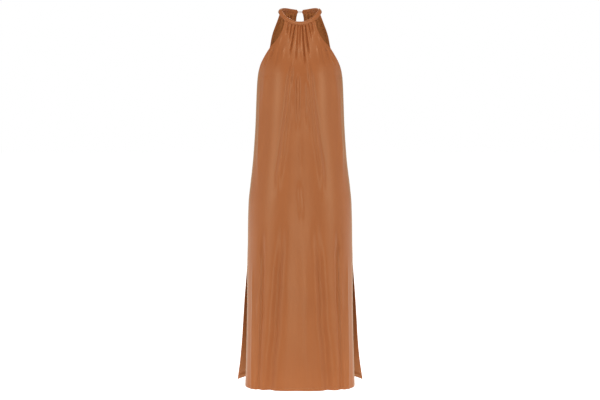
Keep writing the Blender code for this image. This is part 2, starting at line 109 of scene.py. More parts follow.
class Fold(NamedTuple):
    """A soft ridge, or a trough where its height is below 0, down the front view of a panel."""

    x_top: float
    z_top: float
    x_bottom: float
    z_bottom: float
    width_top: float
    width_bottom: float
    height: float
    fade_top: float
    fade_bottom: float
    bow: float = 0.0


def fold_table(*rows: tuple[float, ...]) -> tuple[Fold, ...]:
    """Folds from rows in millimetres, whose columns are a Fold's fields in their order."""
    return tuple(Fold(*(value * MM for value in row)) for row in rows)


# The hem's height, in the tables' millimetres and in metres
HEM = -1272.0
HEM_Z = HEM * MM
NECK_SEAM_DROP = 0.7 * MM
SEAM_BLEND_LENGTH = 16 * MM
GATHER_SEAM_SHARE = 0.60
GATHER_OPEN_LENGTH = 5 * MM

FRONT_ARMHOLE = (
    Section(-0.0765, -0.0780, 0.0566, -0.0580, -0.0604, 44, 2.0),
    Section(-0.0895, -0.1010, 0.0671, -0.0660, -0.0841, 45, 2.0),
    Section(-0.1010, -0.1215, 0.0815, -0.0700, -0.1046, 48, 2.0),
    Section(-0.1090, -0.1365, 0.0955, -0.0705, -0.1194, 52, 2.0),
    Section(-0.1190, -0.1630, 0.1182, -0.0630, -0.1532, 60, 2.1),
    Section(-0.1245, -0.1840, 0.1312, -0.0520, -0.1779, 67, 2.2),
    Section(-0.1282, -0.2020, 0.1385, -0.0370, -0.1990, 75, 2.2),
    Section(-0.1300, -0.2135, 0.1422, -0.0175, -0.2140, 83, 2.2),
)
BACK_ARMHOLE = (
    Section(0.0700, -0.0300, 0.0770, 0.0460, -0.0280, 61, 2.0),
    Section(0.0770, -0.0465, 0.0838, 0.0580, -0.0446, 55, 2.0),
    Section(0.0835, -0.0630, 0.0906, 0.0670, -0.0610, 51, 2.0),
    Section(0.0900, -0.0840, 0.0974, 0.0735, -0.0825, 49, 2.0),
    Section(0.0985, -0.1240, 0.1058, 0.0760, -0.1237, 50, 2.0),
    Section(0.1030, -0.1580, 0.1182, 0.0680, -0.1560, 58, 2.1),
    Section(0.1050, -0.1840, 0.1312, 0.0560, -0.1800, 66, 2.2),
    Section(0.1056, -0.2010, 0.1385, 0.0390, -0.2000, 75, 2.2),
    Section(0.1058, -0.2130, 0.1422, 0.0180, -0.2143, 83, 2.2),
)
BODY_ROWS = (
    BodyRow(-0.2215, 0.1436, -0.1305, 0.1058, 2.2),
    BodyRow(-0.2660, 0.1467, -0.1320, 0.1055, 2.2),
    BodyRow(-0.3000, 0.1480, -0.1315, 0.1045, 2.2),
    BodyRow(-0.3700, 0.1508, -0.1285, 0.1015, 2.2),
    BodyRow(-0.4350, 0.1545, -0.1260, 0.0995, 2.2),
    BodyRow(-0.5000, 0.1596, -0.1250, 0.1005, 2.2),
    BodyRow(-0.5400, 0.1642, -0.1250, 0.1030, 2.2),
    BodyRow(-0.6000, 0.1718, -0.1260, 0.1090, 2.2),
    BodyRow(-0.6400, 0.1760, -0.1270, 0.1125, 2.2),
    BodyRow(-0.7100, 0.1784, -0.1275, 0.1160, 2.2),
    BodyRow(-0.7800, 0.1797, -0.1275, 0.1180, 2.2),
    BodyRow(-0.8550, 0.1820, -0.1270, 0.1205, 2.2),
)
FRONT_SLIT = (
    Section(-0.1275, -0.9800, 0.1822, -0.0140, -0.9800, 90, 2.3),
    Section(-0.1285, -1.0800, 0.1834, -0.0235, -1.0800, 90, 2.5),
    Section(-0.1300, -1.1800, 0.1856, -0.0325, -1.1800, 90, 2.8),
    Section(-0.1315, HEM_Z, 0.1888, -0.0400, HEM_Z, 90, 3.1),
)
BACK_SLIT = (
    Section(0.1235, -0.9300, 0.1880, 0.0050, -0.9300, 86, 2.2),
    Section(0.1250, -0.9900, 0.1929, 0.0090, -0.9900, 81, 2.15),
    Section(0.1272, -1.0600, 0.1978, 0.0125, -1.0600, 75, 2.1),
    Section(0.1300, -1.1300, 0.2022, 0.0155, -1.1300, 70, 2.0),
    Section(0.1340, -1.2000, 0.2090, 0.0175, -1.2000, 66, 2.0),
    Section(0.1390, HEM_Z, 0.2196, 0.0195, HEM_Z, 62, 2.0),
)

# Columns: x and z at the top, x and z at the bottom, both widths, height, both fades, and bow if any
FRONT_GATHERS = fold_table(
    (-37, -34, -45, -88, 2.6, 3.6, -2.6, 4, 25),
    (-26.5, -40, -37, -115, 2.6, 3.6, -2.9, 4, 40),
    (-15, -45, -36.5, -168, 2.6, 3.8, -3.6, 4, 55),
    (-6, -45, -14, -200, 2.4, 4, -2.2, 4, 100),
    (1, -45, -2, -150, 2.4, 3.4, -2, 4, 60),
    (7.5, -45, 18.5, -210, 2.6, 3.8, -3.4, 4, 70),
    (16.5, -45, 33, -165, 2.6, 3.8, -3.6, 4, 50),
    (27.5, -40, 40, -110, 2.6, 3.6, -2.9, 4, 40),
    (38, -34, 46, -84, 2.6, 3.6, -2.6, 4, 25),
)
FRONT_DRAPE = fold_table(
    (-21, -150, -79, -640, 6.6, 13, 4.2, 80, 140),
    (23, -150, 82, -640, 6.6, 13, 4.2, 80, 140),
    (-6.6, -205, -7.4, -420, 6, 7.6, 3.4, 30, 120),
    (23.5, -225, 29, -420, 6, 7.6, 3, 30, 120),
    (-24, -235, -29, -360, 5.6, 7, 1.4, 30, 90),
    (-2, -550, 4, -720, 7, 9, 2, 60, 80),
    (-112, -170, -147, -600, 11, 13, 1.8, 80, 160),
    (112, -170, 147, -600, 11, 13, 1.8, 80, 160),
    (-56, -660, -102, HEM, 14, 18, -5.2, 240, 0),
    (53, -660, 93, HEM, 14, 18, -5.2, 240, 0),
    (-124, -700, -143, HEM, 10, 12, -3.6, 120, 0),
    (124, -700, 143, HEM, 10, 12, -3.6, 120, 0),
    (8, -700, 24, HEM, 20, 30, 1, 200, 0),
    (-36, -760, -46, HEM, 20, 26, 0.8, 200, 0),
)
BACK_GATHERS = fold_table(
    (-56, 0, -66, -70, 3, 6, -2.2, 4, 40),
    (-46, 0, -55, -105, 3, 6, -2.6, 4, 50),
    (-35, 0, -43, -90, 3, 6, -2.4, 4, 45),
    (-23, 0, -32, -140, 3, 7, -2.6, 4, 60),
    (22, 0, 30, -125, 3, 7, -2.6, 4, 55),
    (34, 0, 44, -95, 3, 6, -2.4, 4, 45),
    (45, 0, 56, -115, 3, 6, -2.6, 4, 50),
    (55, 0, 67, -75, 3, 6, -2.2, 4, 40),
)
BACK_DRAPE = fold_table(
    (-52, -110, -98, -1180, 11, 21, 4, 120, 150, -10),
    (47, -130, 88, -1120, 11, 20, 3.8, 120, 180, 9),
    (4, -110, -6, -820, 9, 16, 2.8, 60, 250, 3),
    (-84, -200, -128, -760, 10, 14, 2.4, 100, 200, -4),
    (86, -220, 126, -700, 10, 14, 2.6, 100, 200, 4),
    (-48, -640, -66, HEM, 14, 19, -4.6, 200, 0, 4),
    (40, -680, 52, HEM, 14, 20, -4.2, 200, 0, -4),
    (-112, -780, -146, HEM, 13, 17, -4.4, 180, 0),
    (108, -740, 138, HEM, 13, 17, -4.6, 180, 0),
)
# Creases too fine for the solids: between the gathers, at the armholes and down the skirt
FRONT_FINE = fold_table(
    (-32, -36, -42, -82, 1.6, 2.4, -0.9, 4, 20),
    (-20.5, -40, -32, -110, 1.6, 2.6, -0.9, 4, 30),
    (-10.5, -44, -25, -125, 1.5, 2.6, -0.6, 4, 45),
    (-11, -125, -15, -185, 1.8, 2.4, -0.7, 20, 30),
    (2, -125, 3, -180, 1.8, 2.4, -0.7, 20, 30),
    (12, -44, 25, -135, 1.5, 2.6, -0.7, 4, 50),
    (22, -40, 36, -110, 1.6, 2.6, -0.9, 4, 30),
    (33, -36, 43, -84, 1.6, 2.4, -0.9, 4, 20),
    (-60, -80, -74, -130, 3.4, 4.4, 0.6, 16, 30),
    (-53, -120, -60, -185, 3.6, 5, 0.8, 20, 40),
    (-70, -115, -83, -195, 4, 5.6, -0.8, 20, 40),
    (56, -115, 66, -185, 3.6, 5, 0.8, 20, 40),
    (60, -78, 72, -120, 3.4, 4.4, 0.6, 16, 30),
    (70, -115, 85, -195, 4, 5.6, -0.8, 20, 40),
    (-86, -118, -101, -176, 2.6, 3.4, -1.6, 12, 30),
    (-95, -128, -112, -182, 2.4, 3.2, 1.3, 12, 30),
    (-106, -146, -119, -196, 2.6, 3.4, -1.4, 12, 30),
    (84, -116, 99, -172, 2.6, 3.4, -1.6, 12, 30),
    (94, -127, 110, -186, 2.4, 3.2, 1.4, 12, 30),
    (105, -144, 118, -190, 2.6, 3.4, -1.4, 12, 30),
    (-130, -230, -142, -620, 5, 6, 1, 60, 160),
    (131, -240, 143, -600, 5, 6, 1, 60, 160),
    (4, -390, 3, -560, 5, 7, 0.4, 60, 80),
    (-134, -780, -150, HEM, 4, 5, 1.4, 120, 0),
    (134, -780, 151, HEM, 4, 5, 1.4, 120, 0),
    (-160, -820, -164, HEM, 4, 5, 1.2, 120, 0),
    (160, -800, 165, HEM, 4, 5, 1.2, 120, 0),
)
BACK_FINE = fold_table(
    (-51, 0, -61, -60, 1.6, 2.8, -1.1, 4, 25),
    (-40.5, 0, -49, -80, 1.6, 2.8, -1.2, 4, 30),
    (-29, 0, -37, -90, 1.6, 3, -1.2, 4, 35),
    (28, 0, 37, -85, 1.6, 3, -1.2, 4, 35),
    (39.5, 0, 50, -75, 1.6, 2.8, -1.2, 4, 30),
    (50.5, 0, 61, -62, 1.6, 2.8, -1.1, 4, 25),
    (-92, -110, -104, -180, 2.4, 3.4, -1.2, 15, 35),
    (91, -116, 105, -188, 2.4, 3.4, -1.2, 15, 35),
    (-28, -180, -36, -620, 5, 8, 1.2, 90, 180),
    (30, -200, 33, -560, 5, 8, 1.2, 90, 180),
    (-118, -260, -144, -640, 5, 7, 1.2, 80, 180),
    (119, -250, 143, -620, 5, 7, 1.2, 80, 180),
    (4, -780, -8, HEM, 8, 11, 1.6, 160, 0),
    (-90, -860, -98, HEM, 7, 9, 1.5, 140, 0),
    (85, -900, 90, HEM, 7, 9, 1.5, 140, 0),
    (-172, -980, -188, HEM, 6, 8, 1.4, 120, 0),
    (170, -960, 186, HEM, 6, 8, 1.4, 120, 0),
)


def smooth_step(value: Array | float) -> Array | float:
    """0 below 0, 1 above 1, and an S curve between."""
    held = np.clip(value, 0.0, 1.0)
    return held * held * (3.0 - 2.0 * held)


def bell(distance: Array, width: float) -> Array:
    """A soft bump of height 1 at distance 0."""
    return np.exp(-((distance / width) ** 2))


def monotone_curve(stations: Array, values: Array, wanted: Array) -> Array:
    """Reads a smooth curve that never overshoots its values.

    Args:
        stations: where the values stand, rising.
        values: the curve's value at each station.
        wanted: where to read the curve.

    Returns:
        The curve's value at each wanted place.
    """
    spans = np.diff(stations)
    slopes = np.diff(values) / spans
    tangents = np.empty(len(values))
    tangents[0], tangents[-1] = slopes[0], slopes[-1]
    for i in range(1, len(values) - 1):
        before, after = slopes[i - 1], slopes[i]
        near, far = 2 * spans[i] + spans[i - 1], spans[i] + 2 * spans[i - 1]
        turns = before * after <= 0
        tangents[i] = 0.0 if turns else (near + far) / (near / before + far / after)
    k = np.clip(np.searchsorted(stations, wanted, side="right") - 1, 0, len(spans) - 1)
    t = (wanted - stations[k]) / spans[k]
    leave, arrive = tangents[k] * spans[k], tangents[k + 1] * spans[k]
    return (
        values[k] * (1 + 2 * t) * (1 - t) ** 2
        + leave * t * (1 - t) ** 2
        + values[k + 1] * t * t * (3 - 2 * t)
        + arrive * t * t * (t - 1)
    )


def deeper(folds: tuple[Fold, ...], times: float, narrower: float = 1.0) -> tuple[Fold, ...]:
    """The same folds, this many times as deep and with their widths at this share.

    Args:
        folds: a table of folds.
        times: what their heights are multiplied by.
        narrower: what their widths are multiplied by.

    Returns:
        The new folds.
    """
    return tuple(
        fold._replace(
            height=fold.height * times,
            width_top=fold.width_top * narrower,
            width_bottom=fold.width_bottom * narrower,
        )
        for fold in folds
    )


# Each table of folds, how many times as deep the shell has them, and their width as a share
FRONT_FOLDS = (
    deeper(FRONT_GATHERS, 1.9, 0.72) + deeper(FRONT_DRAPE, 2.1, 0.8) + deeper(FRONT_FINE, 2.4, 0.85)
)
BACK_FOLDS = deeper(BACK_GATHERS, 1.9, 0.8) + deeper(BACK_DRAPE, 1.7, 0.85) + deeper(BACK_FINE, 2.0, 0.85)
FRONT_HALF_ANGLE = math.radians(44)
BACK_HALF_ANGLE = math.radians(69)


def unit(vectors: Array) -> Array:
    """The vectors at length 1."""
    return vectors / np.linalg.norm(vectors, axis=-1, keepdims=True)


def run_along(path: Array) -> Array:
    """How far along a path each of its points lies."""
    return np.concatenate([[0.0], np.cumsum(np.linalg.norm(np.diff(path, axis=0), axis=1))])


def pucker(place: Array, every: float, drift: float) -> Array:
    """Small waves along a tight seam, 2 pi times every in length, which drift makes uneven."""
    return np.sin(place / every + 2 * np.sin(place / drift))


def slow_waves(x: Array, z: Array, phase: float) -> Array:
    """Hanging cloth's slight unevenness, as two crossed waves, in radians a metre."""
    broad = np.sin(31 * x + 3 * np.sin(5.1 * z)) * np.sin(9 * z + 2 * np.sin(11 * x) + phase)
    return broad + 0.6 * np.sin(67 * x + 11 * z + phase) * np.sin(17 * z - 23 * x)


def spread(start: float, end: float, rows: int, first_share: float) -> Array:
    """Distances from a start to an end in rows that widen, the first by this share of an even row."""
    share = np.linspace(0, 1, rows + 1)
    return start + (end - start) * (first_share * share + (1 - first_share) * share**2)


@dataclass(frozen=True)
class NeckRing:
    """The ring that the neckband follows, and that both panels hang from."""

    top: float = 8.3 * MM
    width: float = 16 * MM
    half_width: float = 62.2 * MM
    front_depth: float = 53 * MM
    back_depth: float = 56 * MM
    front_drop: float = 47.3 * MM
    drop_power: float = 1.46
    back_arch: float = 4.1 * MM
    back_sag: float = 0.3 * MM
    lean_front: float = math.radians(45)
    lean_side: float = math.radians(38)
    lean_back: float = math.radians(12)
    end_gap: float = 6.75 * MM
    end_round: float = 4.2 * MM

    def lean(self, turn: Array) -> Array:
        """How far the band leans outward.

        Args:
            turn: the turn round the neck from the front centre, in radians.

        Returns:
            The lean from upright, in radians.
        """
        share = np.arccos(np.cos(turn)) / (math.pi / 2)
        front_to_side = self.lean_front + (self.lean_side - self.lean_front) * smooth_step(share)
        return front_to_side + (self.lean_back - self.lean_side) * smooth_step(share - 1)

    def point(self, turn: Array, across: Array) -> Array:
        """Points of the band's middle surface.

        Args:
            turn: the turn round the neck from the front centre, in radians.
            across: 0 at the top edge and 1 at the lower edge.

        Returns:
            The points, in metres.
        """
        lean = self.lean(turn)
        outward = across * self.width * np.sin(lean)
        depth = np.where(np.cos(turn) > 0, self.front_depth, self.back_depth)
        front = np.clip(np.cos(turn), 0, None) ** self.drop_power
        back = np.clip(-np.cos(turn), 0, None)
        arch = self.back_arch * ARCH_SCALE * back**2 * (1 - back) - self.back_sag * back**2
        top = self.top - self.front_drop * front + arch
        x = (self.half_width + outward) * np.sin(turn)
        y = -(depth + outward) * np.cos(turn)
        return np.stack([x, y, top - across * self.width * np.cos(lean)], axis=-1)

    def outward(self, turn: Array, across: Array) -> Array:
        """The band's outward direction.

        Args:
            turn: the turn round the neck from the front centre, in radians.
            across: 0 at the top edge and 1 at the lower edge.

        Returns:
            Directions of length 1.
        """
        ahead = self.point(turn + NUDGE, across) - self.point(turn - NUDGE, across)
        down = self.point(turn, across + NUDGE) - self.point(turn, across - NUDGE)
        return unit(np.cross(down, ahead))

    def end_turn(self, across: Array | float) -> Array:
        """The turn at which the band ends at the nape, by the share across it: its ends are rounded."""
        gap = self.end_gap + self.end_round * (2 * np.asarray(across) - 1) ** 2
        return math.pi - np.arcsin(gap / self.half_width)

    def frame_at(self, turn: float, across: float) -> Matrix:
        """A matrix at a point of the band: X along the band, Y down it, Z outward.

        Args:
            turn: the turn round the neck from the front centre, in radians.
            across: 0 at the top edge and 1 at the lower edge.

        Returns:
            The matrix.
        """
        at = self.point(np.array(turn), across)
        ahead = Vector(self.point(np.array(turn + 10 * NUDGE), across) - at).normalized()
        out = Vector(self.outward(np.array(turn), across))
        made = Matrix((ahead, out.cross(ahead), out)).transposed().to_4x4()
        made.translation = Vector(at)
        return made


@dataclass
class PanelForm:
    """The surface of one panel, from its neck seam to its hem, with and without its folds."""

    facing: Facing
    ring: NeckRing
    armhole: tuple[Section, ...]
    slit: tuple[Section, ...]
    folds: tuple[Fold, ...]
    half_angle: float
    table: dict[str, Array] = field(init=False)
    stations: Array = field(init=False)
    underarm: int = field(init=False)
    slit_top: int = field(init=False)

    def __post_init__(self) -> None:
        """Reads the sections into one table, and measures down the centre line."""
        rows = [self.neck_section(), *self.armhole]
        self.underarm = len(rows)
        rows += [self.body_section(row) for row in BODY_ROWS]
        self.slit_top = len(rows) - 1
        rows += self.slit
        self.table = {name: np.array([getattr(row, name) for row in rows]) for name in Section._fields}
        steps = np.hypot(np.diff(self.table["centre_y"]), np.diff(self.table["centre_z"]))
        self.stations = np.concatenate([[0.0], np.cumsum(steps)])

    @property
    def length(self) -> float:
        """The length down the centre line."""
        return float(self.stations[-1])

    @property
    def seam(self) -> tuple[float, float]:
        """Where the side seam begins and ends, down the centre line."""
        return float(self.stations[self.underarm]), float(self.stations[self.slit_top])

    @property
    def side(self) -> int:
        """The sign of the panel's depth."""
        return self.facing.value

    def seam_point(self, turn: Array, raised: Array | float = 0.0) -> Array:
        """A point of the seam with the band, or of the cloth that runs on up inside the band."""
        round_neck = turn if self.facing is Facing.FRONT else math.pi - turn
        return self.ring.point(round_neck, 1 + (NECK_SEAM_DROP + raised) / self.ring.width)

    def neck_section(self) -> Section:
        """The neck seam as the panel's first section."""
        centre, edge = self.seam_point(np.array(0.0)), self.seam_point(np.array(self.half_angle))
        return Section(centre[1], centre[2], *edge, math.degrees(self.half_angle), 2.0)

    def body_section(self, row: BodyRow) -> Section:
        """A level row of the body as a section of this panel."""
        depth = row.front_y if self.facing is Facing.FRONT else row.back_y
        return Section(depth, row.z, row.half_width, 0.0, row.z, 90, row.fullness)

    def read(self, name: str, along: Array) -> Array:
        """One column of the table at these distances down the centre line."""
        return monotone_curve(self.stations, self.table[name], along)

    def along_at(self, z: float) -> float:
        """The distance down the centre line at which it reaches this height.

        Args:
            z: the height.

        Returns:
            The distance.
        """
        guess = float(np.interp(-z, -self.table["centre_z"], self.stations))
        for _ in range(4):
            guess += float(self.read("centre_z", np.array(guess))) - z
        return guess

    def loft(self, turn: Array, along: Array) -> Array:
        """Points of the surface through the table's sections.

        Args:
            turn: turns across the panel from its centre line, in radians.
            along: distances down the centre line.

        Returns:
            The points, in metres.
        """
        along = np.clip(along, 0, self.length)
        half_angle = np.radians(self.read("half_angle", along))
        fullness = self.read("fullness", along)

        def bend(angle: Array) -> Array:
            """How far forward the section stands at this angle, as a share."""
            rest = 1 - np.abs(np.sin(angle)) ** fullness
            return np.clip(rest, 0, None) ** (1 / fullness)

        edge_bend = bend(half_angle)
        share = (bend(turn) - edge_bend) / (1 - edge_bend)
        places = [self.read("edge_x", along) * np.sin(turn) / np.sin(half_angle)]
        for axis in "yz":
            edge, centre = self.read(f"edge_{axis}", along), self.read(f"centre_{axis}", along)
            places.append(edge + (centre - edge) * share)
        return np.stack(places, axis=-1)

    def smooth(self, turn: Array, along: Array) -> Array:
        """Points of the surface without its folds.

        Args:
            turn: turns across the panel from its centre line, in radians.
            along: distances down the centre line; below 0 they run up inside the band.

        Returns:
            The points, in metres.
        """
        raised = np.clip(along, None, 0)
        off_seam = self.seam_point(turn, raised) - self.loft(turn, np.zeros_like(along))
        fade = np.clip(1 - np.clip(along, 0, None) / SEAM_BLEND_LENGTH, 0, 1) ** 2
        return self.loft(turn, along) + off_seam * fade[..., None]

    def normal(self, turn: Array, along: Array) -> Array:
        """The outward direction of the surface without its folds.

        Args:
            turn: turns across the panel from its centre line, in radians.
            along: distances down the centre line.

        Returns:
            Directions of length 1.
        """
        right = turn > 0
        across = self.smooth(np.where(right, turn, turn + NUDGE), along)
        across = across - self.smooth(np.where(right, turn - NUDGE, turn), along)
        down = self.smooth(turn, np.clip(along + NUDGE, None, self.length))
        down = down - self.smooth(turn, np.clip(along, None, self.length) - NUDGE)
        return unit(np.cross(down, across) * -self.side)

    def fold_height(self, points: Array, along: Array) -> Array:
        """How far the folds stand out of the surface at these points.

        Args:
            points: points of the surface.
            along: distances down the centre line.

        Returns:
            Heights, below 0 in a trough.
        """
        x, z = points[..., 0], points[..., 2]
        height = np.zeros(x.shape)
        for number, fold in enumerate(self.folds):
            share = np.clip((fold.z_top - z) / (fold.z_top - fold.z_bottom), 0, 1)
            middle = fold.x_top + (fold.x_bottom - fold.x_top) * share + fold.bow * 4 * share * (1 - share)
            wander = sum(part * np.sin(rate * z + step * number) for part, rate, step in WANDER)
            width = fold.width_top + (fold.width_bottom - fold.width_top) * share
            begins = smooth_step((fold.z_top - z) / fold.fade_top)
            ends = smooth_step((z - fold.z_bottom) / fold.fade_bottom) if fold.fade_bottom else 1.0
            height += fold.height * begins * ends * bell(x - middle - wander * width, width)
        opening = smooth_step(along / GATHER_OPEN_LENGTH)
        return height * (GATHER_SEAM_SHARE + (1 - GATHER_SEAM_SHARE) * opening)


@dataclass(frozen=True)
class JerseyFinish:
    """Fine matt jersey: a knit bump across the cloth, soft mottling, painted shade of soft folds in long
    vertical streaks, and a light nap.
    """

    name: str
    colour: Colour
    # the darker tone: random mottling in broad patches, and painted shade of soft folds in vertical streaks
    mottle_and_fold_shade_colour: Colour
    roughness: float = 0.41
    sheen: float = 0.19
    sheen_roughness: float = 0.32
    sheen_tint: Colour = (0.70, 1.00, 0.42, 1.0)
    shine: float = 0.52
    shine_tint: Colour = (1.0, 0.93, 0.62, 1.0)
    wale: float = 0.55 * MM
    bump: float = 0.12
    bump_height: float = 0.15 * MM
    painted_fold_shade_scale: Place = (62.0, 62.0, 3.2)

    def make(self) -> bpy.types.Material:
        """Builds the material.

        Returns:
            The material.
        """
        made = Nodes(self.name)
        place = made.add("ShaderNodeTexCoord")
        cloth = made.add("ShaderNodeUVMap", uv_map=CLOTH_MAP)
        knit_scale = made.add("ShaderNodeMapping", Scale=(1 / self.wale, 1 / self.wale, 1))
        made.join(cloth, "UV", knit_scale, "Vector")
        wales = made.add("ShaderNodeTexWave", Scale=1.0, Distortion=0.6, Detail=1.0)
        wales.bands_direction = "X"
        made.join(knit_scale, "Vector", wales, "Vector")
        courses = made.add("ShaderNodeTexWave", Scale=0.8, Distortion=0.8, Detail=1.0)
        courses.bands_direction = "Y"
        made.join(knit_scale, "Vector", courses, "Vector")
        knit = made.add("ShaderNodeMath", operation="MULTIPLY")
        made.join(wales, "Fac", knit, 0)
        made.join(courses, "Fac", knit, 1)
        made.roughen(knit, "Value", self.bump, self.bump_height)
        # Long vertical streaks of the darker colour: painted shade of soft hanging folds
        fold_shade_stretch = made.add("ShaderNodeMapping", Scale=self.painted_fold_shade_scale)
        made.join(place, "Object", fold_shade_stretch, "Vector")
        fold_shade_noise = made.add("ShaderNodeTexNoise", Scale=1.0, Detail=3.0, Roughness=0.6)
        made.join(fold_shade_stretch, "Vector", fold_shade_noise, "Vector")
        # Broad random patches of the darker colour: the cloth's own mottling
        patches = made.add("ShaderNodeTexNoise", Scale=9.0, Detail=2.0, Roughness=0.5)
        made.join(place, "Object", patches, "Vector")
        both = made.add("ShaderNodeMath", operation="ADD")
        made.join(fold_shade_noise, "Fac", both, 0)
        made.join(patches, "Fac", both, 1)
        # Mixes in the darker colour: painted fold shade along the streaks, random mottling in the patches
        depth = made.add("ShaderNodeMapRange")
        for socket, value in {"From Min": 0.75, "From Max": 1.3, "To Min": 0.0, "To Max": 1.0}.items():
            depth.inputs[socket].default_value = value
        made.join(both, "Value", depth, "Value")
        made.paint(self.colour, self.mottle_and_fold_shade_colour, depth, "Result")
        made.set_shader(
            {
                "Roughness": self.roughness,
                "Sheen Weight": self.sheen,
                "Sheen Roughness": self.sheen_roughness,
                "Sheen Tint": self.sheen_tint,
                "Specular IOR Level": self.shine,
                "Specular Tint": self.shine_tint,
            }
        )
        return made.material


@dataclass(frozen=True)
class ThreadFinish:
    """Sewing thread or cord: plies that wind round it, seen as fine diagonal ridges."""

    name: str
    colour: Colour
    ply_scale: float
    roughness: float = 0.55
    sheen: float = 0.2
    shade: float = 0.72
    bump: float = 0.4
    bump_height: float = 0.1 * MM

    def make(self) -> bpy.types.Material:
        """Builds the material.

        Returns:
            The material.
        """
        made = Nodes(self.name)
        place = made.add("ShaderNodeTexCoord")
        plies = made.add("ShaderNodeTexWave", Scale=self.ply_scale, Distortion=1.0, Detail=1.0)
        plies.bands_direction = "DIAGONAL"
        made.join(place, "Object", plies, "Vector")
        made.roughen(plies, "Fac", self.bump, self.bump_height)
        fuzz = made.add("ShaderNodeTexNoise", Scale=900.0, Detail=2.0)
        made.join(place, "Object", fuzz, "Vector")
        in_shade = tuple(self.shade * part for part in self.colour[:3]) + (1.0,)
        made.paint(self.colour, in_shade, fuzz)
        made.set_shader({"Roughness": self.roughness, "Sheen Weight": self.sheen})
        return made.material


@dataclass(frozen=True)
class ButtonFinish:
    """Moulded button resin: satin, a little cloudy in depth."""

    name: str
    colour: Colour
    light_colour: Colour
    roughness: float = 0.3
    coat: float = 0.3
    bump: float = 0.1
    bump_height: float = 0.05 * MM

    def make(self) -> bpy.types.Material:
        """Builds the material.

        Returns:
            The material.
        """
        made = Nodes(self.name)
        place = made.add("ShaderNodeTexCoord")
        cloud = made.add("ShaderNodeTexNoise", Scale=420.0, Detail=4.0, Distortion=0.8)
        made.join(place, "Object", cloud, "Vector")
        made.paint(self.colour, self.light_colour, cloud)
        scuffs = made.add("ShaderNodeTexNoise", Scale=1600.0, Detail=3.0)
        made.join(place, "Object", scuffs, "Vector")
        made.roughen(scuffs, "Fac", self.bump, self.bump_height)
        made.set_shader({"Roughness": self.roughness, "Coat Weight": self.coat, "Coat Roughness": 0.15})
        return made.material


@dataclass(frozen=True)
class FloorFinish:
    """Pale matt paint that glows a little, so that the floor and the sky meet without a line."""

    name: str = "pale_floor"
    colour: Colour = (0.90, 0.90, 0.90, 1.0)
    light_colour: Colour = (0.94, 0.94, 0.94, 1.0)
    roughness: float = 0.8
    glow: float = 0.72

    def make(self) -> bpy.types.Material:
        """Builds the material.

        Returns:
            The material.
        """
        made = Nodes(self.name)
        place = made.add("ShaderNodeTexCoord")
        cloud = made.add("ShaderNodeTexNoise", Scale=0.8, Detail=2.0)
        made.join(place, "Object", cloud, "Vector")
        made.paint(self.colour, self.light_colour, cloud)
        glow = {"Emission Color": (1, 1, 1, 1), "Emission Strength": self.glow}
        made.set_shader({"Roughness": self.roughness, **glow})
        return made.material


class Nodes:
    """A material's node tree, with short calls to add and join its nodes."""

    def __init__(self, name: str) -> None:
        """Starts a material with a Principled shader.

        Args:
            name: the material's name.
        """
        self.material = bpy.data.materials.new(name)
        self.material.use_nodes = True
        self.tree = self.material.node_tree
        self.shader = self.tree.nodes["Principled BSDF"]

    def add(self, kind: str, **values: object) -> bpy.types.Node:
        """Adds a node.

        Args:
            kind: Blender's name for the kind of node.
            values: the node's own settings, and the values of its inputs by name.

        Returns:
            The new node.
        """
        node = self.tree.nodes.new(kind)
        for name, value in values.items():
            if name in node.inputs:
                node.inputs[name].default_value = value
            else:
                setattr(node, name, value)
        return node

    def link(self, source: bpy.types.NodeSocket, target: bpy.types.NodeSocket) -> None:
        """Joins two sockets."""
        self.tree.links.new(source, target)

    def join(self, source: bpy.types.Node, out: str, target: bpy.types.Node, into: str | int) -> None:
        """Joins a node's output to another's input, both by name or number."""
        self.link(source.outputs[out], target.inputs[into])

    def paint(self, first: Colour, second: Colour, source: bpy.types.Node, out: str = "Fac") -> None:
        """Gives the shader a mix of two colours.

        Args:
            first: the colour where the source is 0.
            second: the colour where the source is 1.
            source: the node that mixes them.
            out: the name of its output.
        """
        tone = self.add("ShaderNodeMix", data_type="RGBA")
        tone.inputs["A"].default_value = first
        tone.inputs["B"].default_value = second
        self.join(source, out, tone, "Factor")
        self.link(colour_output(tone), self.shader.inputs["Base Color"])

    def roughen(self, source: bpy.types.Node, out: str, strength: float, distance: float) -> None:
        """Raises the surface by a texture.

        Args:
            source: the node whose value is the height.
            out: the name of its output.
            strength: the bump's strength.
            distance: the height of a value of 1, in metres.
        """
        bump = self.add("ShaderNodeBump", Strength=strength, Distance=distance)
        self.join(source, out, bump, "Height")
        self.join(bump, "Normal", self.shader, "Normal")

    def set_shader(self, values: dict[str, object]) -> None:
        """Sets the shader's own sockets."""
        for name, value in values.items():
            self.shader.inputs[name].default_value = value


def colour_output(mix: bpy.types.Node) -> bpy.types.NodeSocket:
    """The colour output of a Mix node, which has one output of each type under one name."""
    return next(socket for socket in mix.outputs if socket.type == "RGBA")


# The darker caramel is random mottling in patches, and painted fold shade along vertical streaks
CARAMEL: Colour = (0.424, 0.124, 0.034, 1.0)
CARAMEL_MOTTLE_AND_FOLD_SHADE: Colour = (0.398, 0.114, 0.031, 1.0)
# The inner face is lighter and more saturated than the outer face. This is partly the jersey's own
# wrong-side tone and partly painted glow of light that passes through the thin cloth and bounces between the
# layers.
INNER_FACE_PAINTED_GLOW: Colour = (0.445, 0.150, 0.040, 1.0)
INNER_GLOW_MOTTLE_AND_FOLD_SHADE: Colour = (0.420, 0.138, 0.035, 1.0)
THREAD: Colour = (0.360, 0.115, 0.040, 1.0)
CORD: Colour = (0.400, 0.150, 0.065, 1.0)
RESIN: Colour = (0.220, 0.070, 0.025, 1.0)
RESIN_LIGHT: Colour = (0.360, 0.130, 0.050, 1.0)


